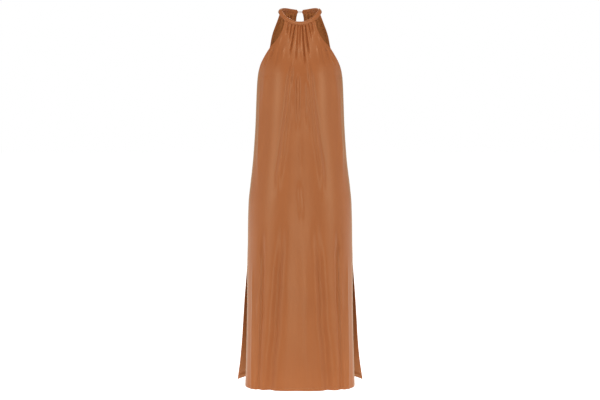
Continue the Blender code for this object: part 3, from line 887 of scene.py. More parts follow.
@dataclass
class Finishes:
    """Every finish of the dress."""

    jersey: bpy.types.Material = field(init=False)
    wrong_side: bpy.types.Material = field(init=False)
    band: bpy.types.Material = field(init=False)
    thread: bpy.types.Material = field(init=False)
    cord: bpy.types.Material = field(init=False)
    button: bpy.types.Material = field(init=False)

    def __post_init__(self) -> None:
        """Makes the materials."""
        self.jersey = JerseyFinish("caramel_jersey", CARAMEL, CARAMEL_MOTTLE_AND_FOLD_SHADE).make()
        # The inner face's lighter colour is partly painted glow, standing in for light through the cloth
        inside = {"roughness": 0.65, "sheen": 0.04}
        self.wrong_side = JerseyFinish("jersey_inside_painted_glow", INNER_FACE_PAINTED_GLOW, INNER_GLOW_MOTTLE_AND_FOLD_SHADE, **inside).make()
        self.band = JerseyFinish("folded_jersey", CARAMEL, CARAMEL_MOTTLE_AND_FOLD_SHADE, roughness=0.47).make()
        self.thread = ThreadFinish("sewing_thread", THREAD, ply_scale=1400.0).make()
        self.cord = ThreadFinish("loop_cord", CORD, ply_scale=700.0).make()
        self.button = ButtonFinish("button_resin", RESIN, RESIN_LIGHT).make()


def new_piece(
    name: str, mesh: bmesh.types.BMesh, slot: str, *finishes: bpy.types.Material
) -> bpy.types.Object:
    """Makes a smooth mesh object from a bmesh and lets it ride on the dress.

    Args:
        name: the piece's name.
        mesh: the bmesh, which is freed.
        slot: not used.
        finishes: the piece's materials, in the order of its slots.

    Returns:
        The new object.
    """
    data = bpy.data.meshes.new(name)
    mesh.to_mesh(data)
    mesh.free()
    data.shade_smooth()
    made = bpy.data.objects.new(name, data)
    bpy.context.scene.collection.objects.link(made)
    for finish in finishes:
        data.materials.append(finish)
    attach(made, BODY)
    LOG.info("%s: %d faces before its modifiers", name, len(data.polygons))
    return made


def new_cloth() -> bmesh.types.BMesh:
    """An empty bmesh with a layer for each point's place on the flat cloth.

    Returns:
        The bmesh.
    """
    mesh = bmesh.new()
    mesh.verts.layers.float_vector.new(CLOTH_MAP)
    return mesh


def lay_grid(mesh: bmesh.types.BMesh, points: Array, cloth: Array, weights: Array) -> None:
    """Adds a grid to a bmesh and moves it to its points.

    Args:
        mesh: the bmesh, started by new_cloth.
        points: the grid's points by row and column.
        cloth: the place of each point on the flat cloth.
        weights: each point's weight in the piece's first group.
    """
    rows, columns = points.shape[0] - 1, points.shape[1] - 1
    first = len(mesh.verts)
    bmesh.ops.create_grid(mesh, x_segments=columns, y_segments=rows, size=1.0)
    mesh.verts.ensure_lookup_table()
    on_cloth = mesh.verts.layers.float_vector[CLOTH_MAP]
    weighted = mesh.verts.layers.deform.verify()
    for vertex in mesh.verts[first:]:
        column = round((vertex.co.x + 1) / 2 * columns)
        row = round((1 - vertex.co.y) / 2 * rows)
        vertex[on_cloth] = (*cloth[row, column], 0.0)
        vertex[weighted][0] = float(weights[row, column])
        vertex.co = points[row, column]


def lay_map(made: bpy.types.Object) -> None:
    """Copies each point's place on the flat cloth to the piece's map.

    Args:
        made: a piece whose mesh was started by new_cloth.
    """
    data = made.data
    places = np.empty(len(data.vertices) * 3, dtype=np.float32)
    data.attributes[CLOTH_MAP].data.foreach_get("vector", places)
    corners = np.empty(len(data.loops), dtype=np.int32)
    data.loops.foreach_get("vertex_index", corners)
    data.attributes.remove(data.attributes[CLOTH_MAP])
    made_map = data.uv_layers.new(name=CLOTH_MAP)
    made_map.data.foreach_set("uv", places.reshape(-1, 3)[corners, :2].ravel())


def add_wall(made: bpy.types.Object, group: str, thickness: float, thinnest: float = 0.0) -> None:
    """Gives a shell its thickness, with the inner face in its second finish.

    Args:
        made: the shell.
        group: a name for its first group, whose weights thicken the wall.
        thickness: the wall where the weight is 1.
        thinnest: the share of it where the weight is 0.
    """
    made.vertex_groups.new(name=group)
    wall = made.modifiers.new("wall", "SOLIDIFY")
    wall.thickness = thickness
    wall.offset = -1.0
    wall.vertex_group = group
    wall.thickness_vertex_group = thinnest
    wall.material_offset = 1


@dataclass
class StitchLine:
    """A row of machine stitches laid on a path over the cloth."""

    path: Array
    normals: Array
    pitch: float = 3.0 * MM
    share: float = 0.76
    half_width: float = 0.24 * MM
    half_height: float = 0.20 * MM
    sunk: float = 0.04 * MM
    batch: int = 40

    def sew(self, mesh: bmesh.types.BMesh) -> int:
        """Adds the row to a bmesh, one small capsule a stitch.

        Args:
            mesh: the bmesh that gathers the rows.

        Returns:
            How many stitches the row has.
        """
        run = run_along(self.path)
        count = max(1, int(run[-1] / self.pitch))
        middles = (np.arange(count) + 0.5) * run[-1] / count
        for start in range(0, count, self.batch):
            self.sew_few(mesh, run, middles[start : start + self.batch])
        return count

    def sew_few(self, mesh: bmesh.types.BMesh, run: Array, middles: Array) -> None:
        """Adds a few stitches, made apart from the rest because that is quicker.

        Args:
            mesh: the bmesh that gathers the rows.
            run: the distance along the path of each of its points.
            middles: the distance of each stitch's middle.
        """
        few = bmesh.new()
        half = self.share * self.pitch / 2
        for middle in middles:
            ends = [self.at(run, self.path, middle + side * half) for side in (-1, 1)]
            out = Vector(self.at(run, self.normals, middle)).normalized()
            ahead = Vector(ends[1] - ends[0]).normalized()
            aside = out.cross(ahead).normalized()
            turned = Matrix((aside * self.half_width, out * self.half_height, ahead * half))
            placed = turned.transposed().to_4x4()
            placed.translation = Vector((ends[0] + ends[1]) / 2) + out * (self.half_height - self.sunk)
            bmesh.ops.create_uvsphere(few, u_segments=6, v_segments=4, radius=1.0, matrix=placed)
        holder = bpy.data.meshes.new("stitches")
        few.to_mesh(holder)
        few.free()
        mesh.from_mesh(holder)
        bpy.data.meshes.remove(holder)

    @staticmethod
    def at(run: Array, values: Array, distance: float) -> Array:
        """The value at a distance along the path."""
        return np.array([np.interp(distance, run, values[:, axis]) for axis in range(3)])


def sew_rows(name: str, lines: list[StitchLine], slot: str, thread: bpy.types.Material) -> bpy.types.Object:
    """Makes one piece of many rows of stitches.

    Args:
        name: the piece's name.
        lines: the rows.
        slot: not used.
        thread: the thread's material.

    Returns:
        The piece.
    """
    mesh = bmesh.new()
    count = sum(line.sew(mesh) for line in lines)
    LOG.info("%s: %d stitches in %d rows", name, count, len(lines))
    return new_piece(name, mesh, slot, thread)


@dataclass
class PanelShell:
    """One panel of jersey: a thin shell on its solid's form, with its turned and stitched edges.

    Distances are in metres across and down the cloth.
    """

    form: PanelForm
    finishes: Finishes
    name: str
    node: str
    flat: tuple[float, float]
    flat_area: float
    columns: int = 84
    armhole_rows: int = 66
    body_rows: int = 118
    cloth: float = 0.85 * MM
    turned_cloth: float = 1.7 * MM
    side_turn: float = 8.0 * MM
    side_stitch: float = 6.5 * MM
    hem_turn: float = 12.0 * MM
    hem_stitch: float = 10.5 * MM
    groove_depth: float = 0.30 * MM
    groove_width: float = 0.7 * MM
    groove_steps: tuple[float, ...] = (1.2, 0.5, 0.0, -0.5, -1.2)
    edge_step: float = 0.8 * MM
    hem_marks: tuple[float, ...] = (6.5 * MM, 3 * MM, 1 * MM, 0.0)
    side_marks: tuple[float, ...] = (4.2 * MM, 2.0 * MM, 0.6 * MM, 0.0)
    first_row: float = 0.7
    raised: float = 2.5 * MM
    band_entry: float = 1.3 * MM
    neck_lift: float = 0.4 * MM
    neck_lift_length: float = 6 * MM
    seam_dip: float = 0.7 * MM
    seam_width: float = 2.2 * MM
    seam_hold: float = 9 * MM
    seam_ease: float = 6 * MM
    hem_pucker: float = 0.12 * MM
    side_pucker: float = 0.10 * MM
    pucker_width: float = 4 * MM
    unevenness: float = 0.5 * MM
    even_length: float = 30 * MM
    uneven_fade: float = 150 * MM
    rim_round: float = 0.3 * MM
    rim_angle: float = math.radians(65)
    gather_puff: float = 1.6 * MM
    puff_rise: float = 12 * MM
    puff_top: float = 18 * MM
    puff_fall: float = 45 * MM
    puff_half_width: float = 30 * MM
    puff_side: float = 18 * MM
    stitch_start: float = 1 * MM
    stitch_gap: float = 2 * MM

    def stations(self) -> Array:
        """Rows of the grid: fine at the gathers, and set ones at the hem's turning.

        Returns:
            Distances down the centre line, from inside the band to the hem.
        """
        underarm = self.form.seam[0]
        length = self.form.length
        top = np.array([-self.raised, -self.raised / 2])
        above = spread(0.0, underarm, self.armhole_rows, self.first_row)
        turn = (self.hem_turn + self.edge_step, self.hem_turn)
        marks = np.array([*turn, *self.groove_marks(self.hem_stitch), *self.hem_marks])
        below = spread(underarm, length - marks[0], self.body_rows, self.first_row)[1:-1]
        return np.concatenate([top, above, below, length - marks])

    def groove_marks(self, middle: float) -> tuple[float, ...]:
        """Distances from an edge that draw a stitched groove."""
        return tuple(middle + step * self.groove_width for step in self.groove_steps)

    def edge_marks(self) -> Array:
        """Distances from a side edge at which columns stand, from the inmost to the edge."""
        turn = (self.side_turn + self.edge_step, self.side_turn)
        return np.array([*turn, *self.groove_marks(self.side_stitch), *self.side_marks])

    def turns(self, along: Array, inner: Array, marks_in: Array) -> tuple[Array, Array, Array]:
        """Spreads columns evenly by the cloth's own length across each row.

        Args:
            along: each row's distance down the centre line.
            inner: each row's turn at its inner edge.
            marks_in: distances from the inner edge at which columns stand.

        Returns:
            The turn of each column in each row, its distance from the inner edge, and from the side edge.
        """
        half = np.radians(self.form.read("half_angle", np.clip(along, 0, None)))
        share = np.linspace(0, 1, MEASURING_STEPS)
        turn = inner[:, None] + (half - inner)[:, None] * share
        dense = self.form.smooth(turn, np.broadcast_to(along[:, None], turn.shape))
        steps = np.linalg.norm(np.diff(dense, axis=1), axis=2)
        run = np.concatenate([np.zeros((len(along), 1)), np.cumsum(steps, axis=1)], axis=1)
        marks_out = self.edge_marks()
        rows = []
        for row in range(len(along)):
            total = run[row, -1]
            even = np.linspace(marks_in[-1], total - marks_out[0], self.columns)[1:-1]
            rows.append(np.concatenate([marks_in, even, total - marks_out]))
        wanted = np.array(rows)
        found = np.array([np.interp(wanted[i], run[i], turn[i]) for i in range(len(along))])
        found[:, -1] = half
        return found, wanted, run[:, -1:] - wanted

    def free_share(self, along: Array) -> Array:
        """Where a side edge is free: at the armholes and slits, but not along the side seam.

        Args:
            along: distances down the centre line.

        Returns:
            1 where it is free, 0 where it is sewn, and a short S curve between.
        """
        begins, ends = self.form.seam
        below_underarm = smooth_step((along - begins) / self.seam_ease)
        return 1 - below_underarm * (1 - smooth_step((along - ends) / self.seam_ease))

    def relief(self, along: Array, from_side: Array, points: Array) -> Array:
        """The height of the stitched grooves, the side seam's dip and the cloth's slight unevenness.

        Args:
            along: distances down the centre line.
            from_side: distances from the side edge.
            points: points of the surface.

        Returns:
            Heights above the surface.
        """
        free = self.free_share(along)
        height = -self.groove_depth * free * bell(from_side - self.side_stitch, self.groove_width)
        height -= self.seam_dip * (1 - free) * bell(from_side, self.seam_width)
        from_hem = self.form.length - along
        height -= self.groove_depth * bell(from_hem - self.hem_stitch, self.groove_width)
        x, z = points[..., 0], points[..., 2]
        at_hem = bell(from_hem - self.hem_stitch, self.pucker_width)
        height += self.hem_pucker * pucker(x, every=2.1 * MM, drift=13 * MM) * at_hem
        at_side = bell(from_side - self.side_stitch * free, self.pucker_width)
        height += self.side_pucker * pucker(z, every=2.3 * MM, drift=17 * MM) * at_side
        away_from_neck = smooth_step((along - self.even_length) / self.uneven_fade)
        return height + self.unevenness * slow_waves(x, z, self.form.side) * away_from_neck

    def surface(self, turn: Array, along: Array, from_side: Array) -> Array:
        """The shell's outer points.

        Args:
            turn: turns across the panel from its centre line, in radians.
            along: distances down the centre line.
            from_side: distances from the side edge.

        Returns:
            The points, in metres.
        """
        points = self.form.smooth(turn, along)
        at_seam = (1 - self.free_share(along)) * bell(from_side, self.seam_hold)
        height = self.form.fold_height(points, np.clip(along, 0, None)) * (1 - at_seam)
        in_band = smooth_step(1 + np.clip(along, None, 0) / self.band_entry)
        height = height * in_band + self.relief(along, from_side, points)
        height = height + self.neck_lift * (1 - smooth_step(along / self.neck_lift_length))
        height = height + self.puff(along, points)
        return points + self.form.normal(turn, along) * height[..., None]

    def puff(self, along: Array, points: Array) -> Array:
        """How far the cloth swells out below the gathers.

        Args:
            along: distances down the centre line.
            points: points of the surface.

        Returns:
            Heights above the surface.
        """
        grown = smooth_step(along / self.puff_rise)
        grown = grown * (1 - smooth_step((along - self.puff_top) / self.puff_fall))
        from_middle = np.abs(points[..., 0])
        inside = 1 - smooth_step((from_middle - self.puff_half_width) / self.puff_side)
        return self.gather_puff * grown * inside

    def turned_share(self, along: Array, from_side: Array) -> Array:
        """Where the cloth is turned under and lies double: at the free edges and the hem.

        Args:
            along: distances down the centre line.
            from_side: distances from the side edge.

        Returns:
            1 where it is double, and 0 elsewhere.
        """
        side = (from_side <= self.side_turn + NUDGE) * self.free_share(along)
        hem = self.form.length - along <= self.hem_turn + NUDGE
        return np.maximum(side, hem * 1.0)

    def stitch_column(self) -> int:
        """The column from a side edge that the stitches follow."""
        marks = self.edge_marks()
        return len(marks) - 1 - int(np.argmin(np.abs(marks - self.side_stitch)))

    def hem_row(self, along: Array) -> int:
        """The row that the hem's stitches follow."""
        return int(np.argmin(np.abs(self.form.length - self.hem_stitch - along)))

    def declare(self, made: bpy.types.Object, stitches: bpy.types.Object) -> None:
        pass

    def finish_shell(self, mesh: bmesh.types.BMesh) -> bpy.types.Object:
        """Gives the cloth its wall and its edges' doubled thickness.

        Args:
            mesh: the shell's outer face.

        Returns:
            The piece.
        """
        made = new_piece(self.name, mesh, self.node, self.finishes.jersey, self.finishes.wrong_side)
        lay_map(made)
        add_wall(made, "turned", self.turned_cloth, self.cloth / self.turned_cloth)
        rim = made.modifiers.new("rounded rim", "BEVEL")
        rim.width = self.rim_round
        rim.segments = 2
        rim.angle_limit = self.rim_angle
        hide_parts(self.node)
        return made

    def side_lines(self, points: Array, normals: Array, along: Array, column: int) -> list[StitchLine]:
        """The stitches beside the armhole and the slit, down one column of the grid.

        Args:
            points: the grid's points.
            normals: the outward direction at each.
            along: each row's distance down the centre line.
            column: the column to follow.

        Returns:
            A row of stitches for each.
        """
        underarm, slit = self.form.seam
        hem = self.form.length - self.hem_stitch
        armhole = (along > self.stitch_start) & (along < underarm - self.stitch_gap)
        opening = (along > slit + self.stitch_gap) & (along <= hem + NUDGE)
        return [StitchLine(points[rows, column], normals[rows, column]) for rows in (armhole, opening)]


@dataclass
class FrontShell(PanelShell):
    """The gathered front panel, whose hem has round corners at the slits."""

    corner_round: float = 18.0 * MM
    corner_reach: float = 4.0

    def round_corners(self, along: Array, from_side: Array) -> Array:
        """Draws the hem up to a quarter circle beside each slit.

        Args:
            along: each row's distance down the cloth.
            from_side: each point's distance from the side edge.

        Returns:
            Each point's distance down the cloth.
        """
        inside = np.clip(1 - from_side / self.corner_round, 0, 1)
        drawn = self.corner_round * (1 - np.sqrt(1 - inside**2))
        from_hem = self.form.length - along[:, None]
        return along[:, None] - drawn * np.clip(1 - from_hem / (self.corner_reach * self.corner_round), 0, 1)

    def build(self) -> list[bpy.types.Object]:
        """Makes the shell and its stitches.

        Returns:
            The two pieces.
        """
        along = self.stations()
        half, from_centre, from_side = self.turns(along, np.zeros(len(along)), np.array([0.0]))
        turn = np.concatenate([-half[:, :0:-1], half], axis=1)
        from_centre = np.concatenate([-from_centre[:, :0:-1], from_centre], axis=1)
        from_side = np.concatenate([from_side[:, :0:-1], from_side], axis=1)
        down = self.round_corners(along, from_side)
        points = self.surface(turn, down, from_side)
        mesh = new_cloth()
        cloth = np.stack([from_centre, down], axis=-1)
        lay_grid(mesh, points, cloth, self.turned_share(down, from_side))
        made = self.finish_shell(mesh)
        normals = self.form.normal(turn, down)
        column = self.stitch_column()
        columns = (column, turn.shape[1] - 1 - column)
        lines = [line for each in columns for line in self.side_lines(points, normals, along, each)]
        hem = self.hem_row(along)
        inside = slice(columns[0], columns[1] + 1)
        lines.append(StitchLine(points[hem, inside], normals[hem, inside]))
        stitches = sew_rows("front_stitches", lines, self.node, self.finishes.thread)
        self.declare(made, stitches)
        return [made, stitches]


@dataclass(frozen=True)
class Keyhole:
    """The opening cut down from the nape, a long rounded slot in the front view."""

    half_width: float = 13.2 * MM
    middle_z: float = -42 * MM
    half_length: float = 48 * MM
    power: float = 2.6
    edge_points: int = 601
    upright_points: int = 200
    reach: float = 30 * MM

    @property
    def bottom(self) -> float:
        """The height of its lower end."""
        return self.middle_z - self.half_length

    def half_width_at(self, z: Array) -> Array:
        """Half the opening's width at these heights.

        Args:
            z: heights.

        Returns:
            Half widths, 0 below its end.
        """
        off = np.abs((z - self.middle_z) / self.half_length)
        open_share = np.clip(1 - off**self.power, 0, None) ** (1 / self.power)
        return np.where(z > self.bottom, self.half_width * open_share, 0.0)

    def outline(self, beyond: float = 0.0) -> Array:
        """Its outline in the front view, grown by this distance.

        Args:
            beyond: how far outside the opening to run, in metres.

        Returns:
            Points across and up, from the left top round the bottom to the right top.
        """
        angle = np.linspace(-math.pi, 0, self.edge_points)
        cos, sin = np.cos(angle), np.sin(angle)
        x = self.half_width * np.sign(cos) * np.abs(cos) ** (2 / self.power)
        z = self.half_length * np.sign(sin) * np.abs(sin) ** (2 / self.power)
        slope_x = np.sign(x) * np.abs(x / self.half_width) ** (self.power - 1) / self.half_width
        slope_z = np.sign(z) * np.abs(z / self.half_length) ** (self.power - 1) / self.half_length
        out = unit(np.stack([slope_x, slope_z], axis=-1))
        upright = np.linspace(self.half_length, 0, self.upright_points)[:-1]
        shoulder = self.half_width_at(upright + self.middle_z)
        left = np.stack([-shoulder - beyond, upright], axis=-1)
        right = np.stack([shoulder + beyond, upright], axis=-1)[::-1]
        path = np.concatenate([left, np.stack([x, z], axis=-1) + out * beyond, right])
        return path + np.array([0.0, self.middle_z])

    def distance(self, points: Array) -> Array:
        """How far these points are from the opening's edge, in the front view.

        Args:
            points: points of the surface.

        Returns:
            Distances, set to FAR_AWAY for points that are well clear of it.
        """
        edge = self.outline()
        flat = points[..., [0, 2]].reshape(-1, 2)
        near = np.full(len(flat), FAR_AWAY)
        close = (np.abs(flat[:, 0]) < self.half_width + self.reach) & (flat[:, 1] > self.bottom - self.reach)
        gaps = flat[close][:, None, :] - edge[None, :, :]
        near[close] = np.sqrt((gaps**2).sum(axis=2).min(axis=1))
        return near.reshape(points.shape[:-1])


@dataclass
class BackShell(PanelShell):
    """The back panel, whose two halves part at the keyhole and meet below it."""

    keyhole: Keyhole = field(default_factory=Keyhole)
    keyhole_rows: int = 34
    keyhole_turn: float = 4.5 * MM
    keyhole_stitch: float = 3.0 * MM
    keyhole_marks_out: tuple[float, ...] = (0.0, 0.6 * MM, 1.4 * MM)
    rows_below: tuple[float, ...] = (0.5, 1.0, 1.6, 2.2, 2.6, 3.0, 3.4, 3.8, 4.5, 5.2, 6.5, 8.5)
    top_stitch_z: float = -12 * MM
    seam_allowance: float = 8.0 * MM

    def stations(self) -> Array:
        """Rows that round off the keyhole and draw its stitching, then those of any panel.

        Returns:
            Distances down the centre line, from inside the band to the hem.
        """
        every = super().stations()
        end = self.form.along_at(self.keyhole.bottom)
        round_off = end * np.sin(np.linspace(0, math.pi / 2, self.keyhole_rows + 1))
        marks = end + np.array(self.rows_below) * MM
        return np.concatenate([every[every < 0], round_off, marks, every[every > marks[-1] + MM]])

    def turned_share(self, along: Array, from_side: Array) -> Array:
        """The turned edges, and the seam's allowance pressed towards the back."""
        edges = super().turned_share(along, from_side)
        return np.maximum(edges, 1.0 * (from_side <= self.seam_allowance + NUDGE))

    def keyhole_marks(self) -> Array:
        """Where columns stand beside the keyhole.

        Returns:
            Distances from its edge, rising.
        """
        groove = sorted(self.groove_marks(self.keyhole_stitch))
        turn = (self.keyhole_turn, self.keyhole_turn + self.edge_step)
        return np.array([*self.keyhole_marks_out, *groove, *turn])

    def build(self) -> list[bpy.types.Object]:
        """Makes the shell and its stitches.

        Returns:
            The two pieces.
        """
        along = self.stations()
        held = np.clip(along, 0, None)
        half_angle = np.radians(self.form.read("half_angle", held))
        open_row = along < self.form.along_at(self.keyhole.bottom) - NUDGE
        gap = self.keyhole.half_width_at(self.form.read("centre_z", held)) * open_row
        inner = np.arcsin(gap * np.sin(half_angle) / self.form.read("edge_x", held))
        half, from_inner, from_side = self.turns(along, inner, self.keyhole_marks())
        down = np.broadcast_to(along[:, None], half.shape)
        mesh = new_cloth()
        lines, hem_path, hem_normals = [], [], []
        column = half.shape[1] - 1 - self.stitch_column()
        hem = self.hem_row(along)
        for side in (-1, 1):
            turn, across, edge = side * half, side * (gap[:, None] + from_inner), from_side
            if side < 0:
                turn, across, edge = turn[:, ::-1], across[:, ::-1], edge[:, ::-1]
            points = self.surface(turn, down, edge)
            normals = self.form.normal(turn, down)
            off = self.keyhole.distance(points)
            dent = self.groove_depth * bell(off - self.keyhole_stitch, self.groove_width)
            points = points - normals * dent[..., None]
            doubled = np.maximum(self.turned_share(down, edge), off <= self.keyhole_turn)
            lay_grid(mesh, points, np.stack([across, down], axis=-1), doubled)
            at = column if side > 0 else half.shape[1] - 1 - column
            lines += self.side_lines(points, normals, along, at)
            inside = slice(0, column + 1) if side > 0 else slice(at, None)
            hem_path.append(points[hem, inside])
            hem_normals.append(normals[hem, inside])
        bmesh.ops.remove_doubles(mesh, verts=mesh.verts, dist=MERGE_DISTANCE)
        bmesh.ops.reverse_faces(mesh, faces=mesh.faces)
        lines.append(StitchLine(np.concatenate(hem_path), np.concatenate(hem_normals)))
        lines.append(self.keyhole_line())
        made = self.finish_shell(mesh)
        stitches = sew_rows("back_stitches", lines, self.node, self.finishes.thread)
        self.declare(made, stitches)
        return [made, stitches]

    def keyhole_line(self) -> StitchLine:
        """The stitches round the keyhole, on the folded surface.

        Returns:
            The row of stitches.
        """
        path = self.keyhole.outline(self.keyhole_stitch)
        path = path[path[:, 1] < self.top_stitch_z]
        along = np.array([self.form.along_at(z) for z in path[:, 1]])
        half_angle = np.radians(self.form.read("half_angle", along))
        turn = np.arcsin(path[:, 0] * np.sin(half_angle) / self.form.read("edge_x", along))
        points = self.surface(turn, along, np.full(len(path), FAR_FROM_SIDE))
        normals = self.form.normal(turn, along)
        return StitchLine(points - normals * self.groove_depth, normals)


@dataclass
class Neckband:
    """A strip folded over the gathered edges, with its raw edges turned up inside it."""

    ring: NeckRing
    finishes: Finishes
    columns: int = 230
    half_wall: float = 1.6 * MM
    cloth: float = 0.45 * MM
    mouth: float = 0.5 * MM
    reach: float = 16.6 * MM
    turned_up: float = 3.6 * MM
    stitch_from_top: float = 14.3 * MM
    face_rows: int = 11
    face_end: float = 2 * MM
    end_taper: float = 1.7 * MM
    blunt: float = 0.15
    outer_crown: float = 2.2 * MM
    inner_crown: float = 0.6 * MM
    round_points: int = 6
    crown_power: float = 0.9
    face_margin: float = 0.1 * MM
    inner_bead: float = 0.9 * MM
    bead_from_top: float = 15.4 * MM
    bead_width: float = 0.9 * MM
    half_length: float = 205 * MM
    end_marks: tuple[float, ...] = (0.0, 0.12, 0.35, 0.7, 1.15, 1.7)
    groove_marks: tuple[float, ...] = (-1.1, -0.65, -0.3, 0.0, 0.3, 0.65, 1.1)
    groove_depth: float = 0.16 * MM
    groove_width: float = 0.55 * MM
    pucker: float = 0.10 * MM
    pucker_start: float = 6 * MM
    pucker_fade: float = 7 * MM
    ripple_from_top: float = 4 * MM
    ripple_width: float = 5 * MM
    stitch_pitch: float = 2.6 * MM
    stitch_points: int = 500
    stitch_end_turn: float = 2.4 / 65
    flat: tuple[float, float] = (0.415, 0.046)

    def face(self) -> Array:
        """Distances down a face of the strip, close together at the stitching.

        Returns:
            Distances from the strip's top.
        """
        middle = self.stitch_from_top
        groove = middle + np.array(self.groove_marks) * MM
        edge = self.reach - (self.half_wall - self.mouth) / 2
        upper = np.linspace(self.half_wall, middle - self.face_end, self.face_rows)
        return np.concatenate([upper, groove, [edge]])

    def profile(self) -> tuple[Array, Array]:
        """The strip's section, from its inner turned edge over the top fold to its outer turned edge.

        Returns:
            How far each point is out from the strip's middle, and how far down from its top.
        """
        round_edge = (self.half_wall - self.mouth) / 2
        lower = np.linspace(0, math.pi, self.round_points)
        lower_out = self.half_wall - round_edge + round_edge * np.cos(lower)
        lower_down = self.reach - round_edge + round_edge * np.sin(lower)
        top = np.linspace(0, math.pi / 2, self.round_points)
        face = self.face()
        out = [self.half_wall * np.sin(top), np.full(len(face) - 2, self.half_wall), lower_out]
        down = [self.half_wall * (1 - np.cos(top)), face[1:-1], lower_down]
        out.append(np.full(2, self.mouth))
        down.append(np.array([self.reach - 0.5 * self.turned_up, self.reach - self.turned_up]))
        half_out, half_down = np.concatenate(out), np.concatenate(down)
        outs = np.concatenate([-half_out[:0:-1], half_out])
        return outs, np.concatenate([half_down[:0:-1], half_down])

    def shares(self) -> Array:
        """The columns' places from one end to the other, close together at the rounded ends.

        Returns:
            Places from -1 at one end to 1 at the other.
        """
        near_end = 1 - np.array(self.end_marks) * MM / self.half_length
        middle = np.linspace(-near_end[-1], near_end[-1], self.columns)[1:-1]
        return np.concatenate([-near_end, middle, near_end[::-1]])

    def build(self) -> list[bpy.types.Object]:
        """Makes the strip and its row of stitches.

        Returns:
            The two pieces.
        """
        out, below = self.profile()
        share = self.shares()
        across = np.broadcast_to(below[:, None] / self.ring.width, (len(below), len(share)))
        turn = share * self.ring.end_turn(np.clip(across, 0, 1))
        from_end = (1 - np.abs(share)) * self.half_length
        rest = np.clip(1 - from_end / self.end_taper, 0, 1)
        fullness = self.blunt + (1 - self.blunt) * np.sqrt(1 - rest**2)
        height = out[:, None] * fullness + np.sign(out)[:, None] * self.relief(turn, below[:, None])
        height = height + (self.crown(out, below)[:, None]) * fullness
        points = self.ring.point(turn, across) + self.ring.outward(turn, across) * height[..., None]
        run = np.concatenate([[0.0], np.cumsum(np.hypot(np.diff(out), np.diff(below)))])
        cloth = np.stack(np.broadcast_arrays(share * self.half_length, run[:, None]), axis=-1)
        mesh = new_cloth()
        lay_grid(mesh, points, cloth, np.broadcast_to(fullness, turn.shape))
        made = new_piece("neckband_strip", mesh, "neckband", self.finishes.band, self.finishes.wrong_side)
        lay_map(made)
        add_wall(made, "wall", self.cloth)
        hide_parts("neckband")
        stitches = sew_rows("neckband_stitches", [self.stitches()], "neckband", self.finishes.thread)
        return [made, stitches]

    def crown(self, out: Array, below: Array) -> Array:
        """How far the faces swell, and the bead of turned cloth along the inner lower edge.

        Args:
            out: how far out from the strip's middle the points are.
            below: how far down from its top they are.

        Returns:
            Heights, outward on the outer face.
        """
        swell = np.sin(math.pi * np.clip(below / self.reach, 0, 1)) ** self.crown_power
        on_face = np.abs(out) > self.mouth + self.face_margin
        bead = self.inner_bead * bell(below - self.bead_from_top, self.bead_width)
        inner = -(self.inner_crown * swell + bead)
        return np.where(out > 0, self.outer_crown * swell, inner) * on_face

    def relief(self, turn: Array, below: Array) -> Array:
        """The stitched groove, and the puckers that the gathered cloth pushes into the strip.

        Args:
            turn: turns round the neck from the front centre, in radians.
            below: distances down from the strip's top.

        Returns:
            Heights above the face.
        """
        groove = -self.groove_depth * bell(below - self.stitch_from_top, self.groove_width)
        wave = np.sin(turn * 92 + 2.2 * np.sin(turn * 17)) + 0.5 * np.sin(turn * 151 + 1.3)
        strength = smooth_step((below - self.pucker_start) / self.pucker_fade)
        ripple = self.pucker * np.sin(turn * 31 + 2 * np.sin(turn * 7))
        near_top = bell(below - self.ripple_from_top, self.ripple_width)
        return groove + self.pucker * wave * strength + ripple * near_top

    def stitches(self) -> StitchLine:
        """The row that closes the strip over the gathered edges.

        Returns:
            The row of stitches.
        """
        end = float(self.ring.end_turn(self.stitch_from_top / self.ring.width)) - self.stitch_end_turn
        turn = np.linspace(-end, end, self.stitch_points)
        below = np.full(self.stitch_points, self.stitch_from_top)
        across = below / self.ring.width
        normals = self.ring.outward(turn, across)
        height = self.half_wall + self.relief(turn, below)
        height = height + self.crown(np.full(self.stitch_points, self.half_wall), below)
        points = self.ring.point(turn, across) + normals * height[:, None]
        return StitchLine(points, normals, self.stitch_pitch)


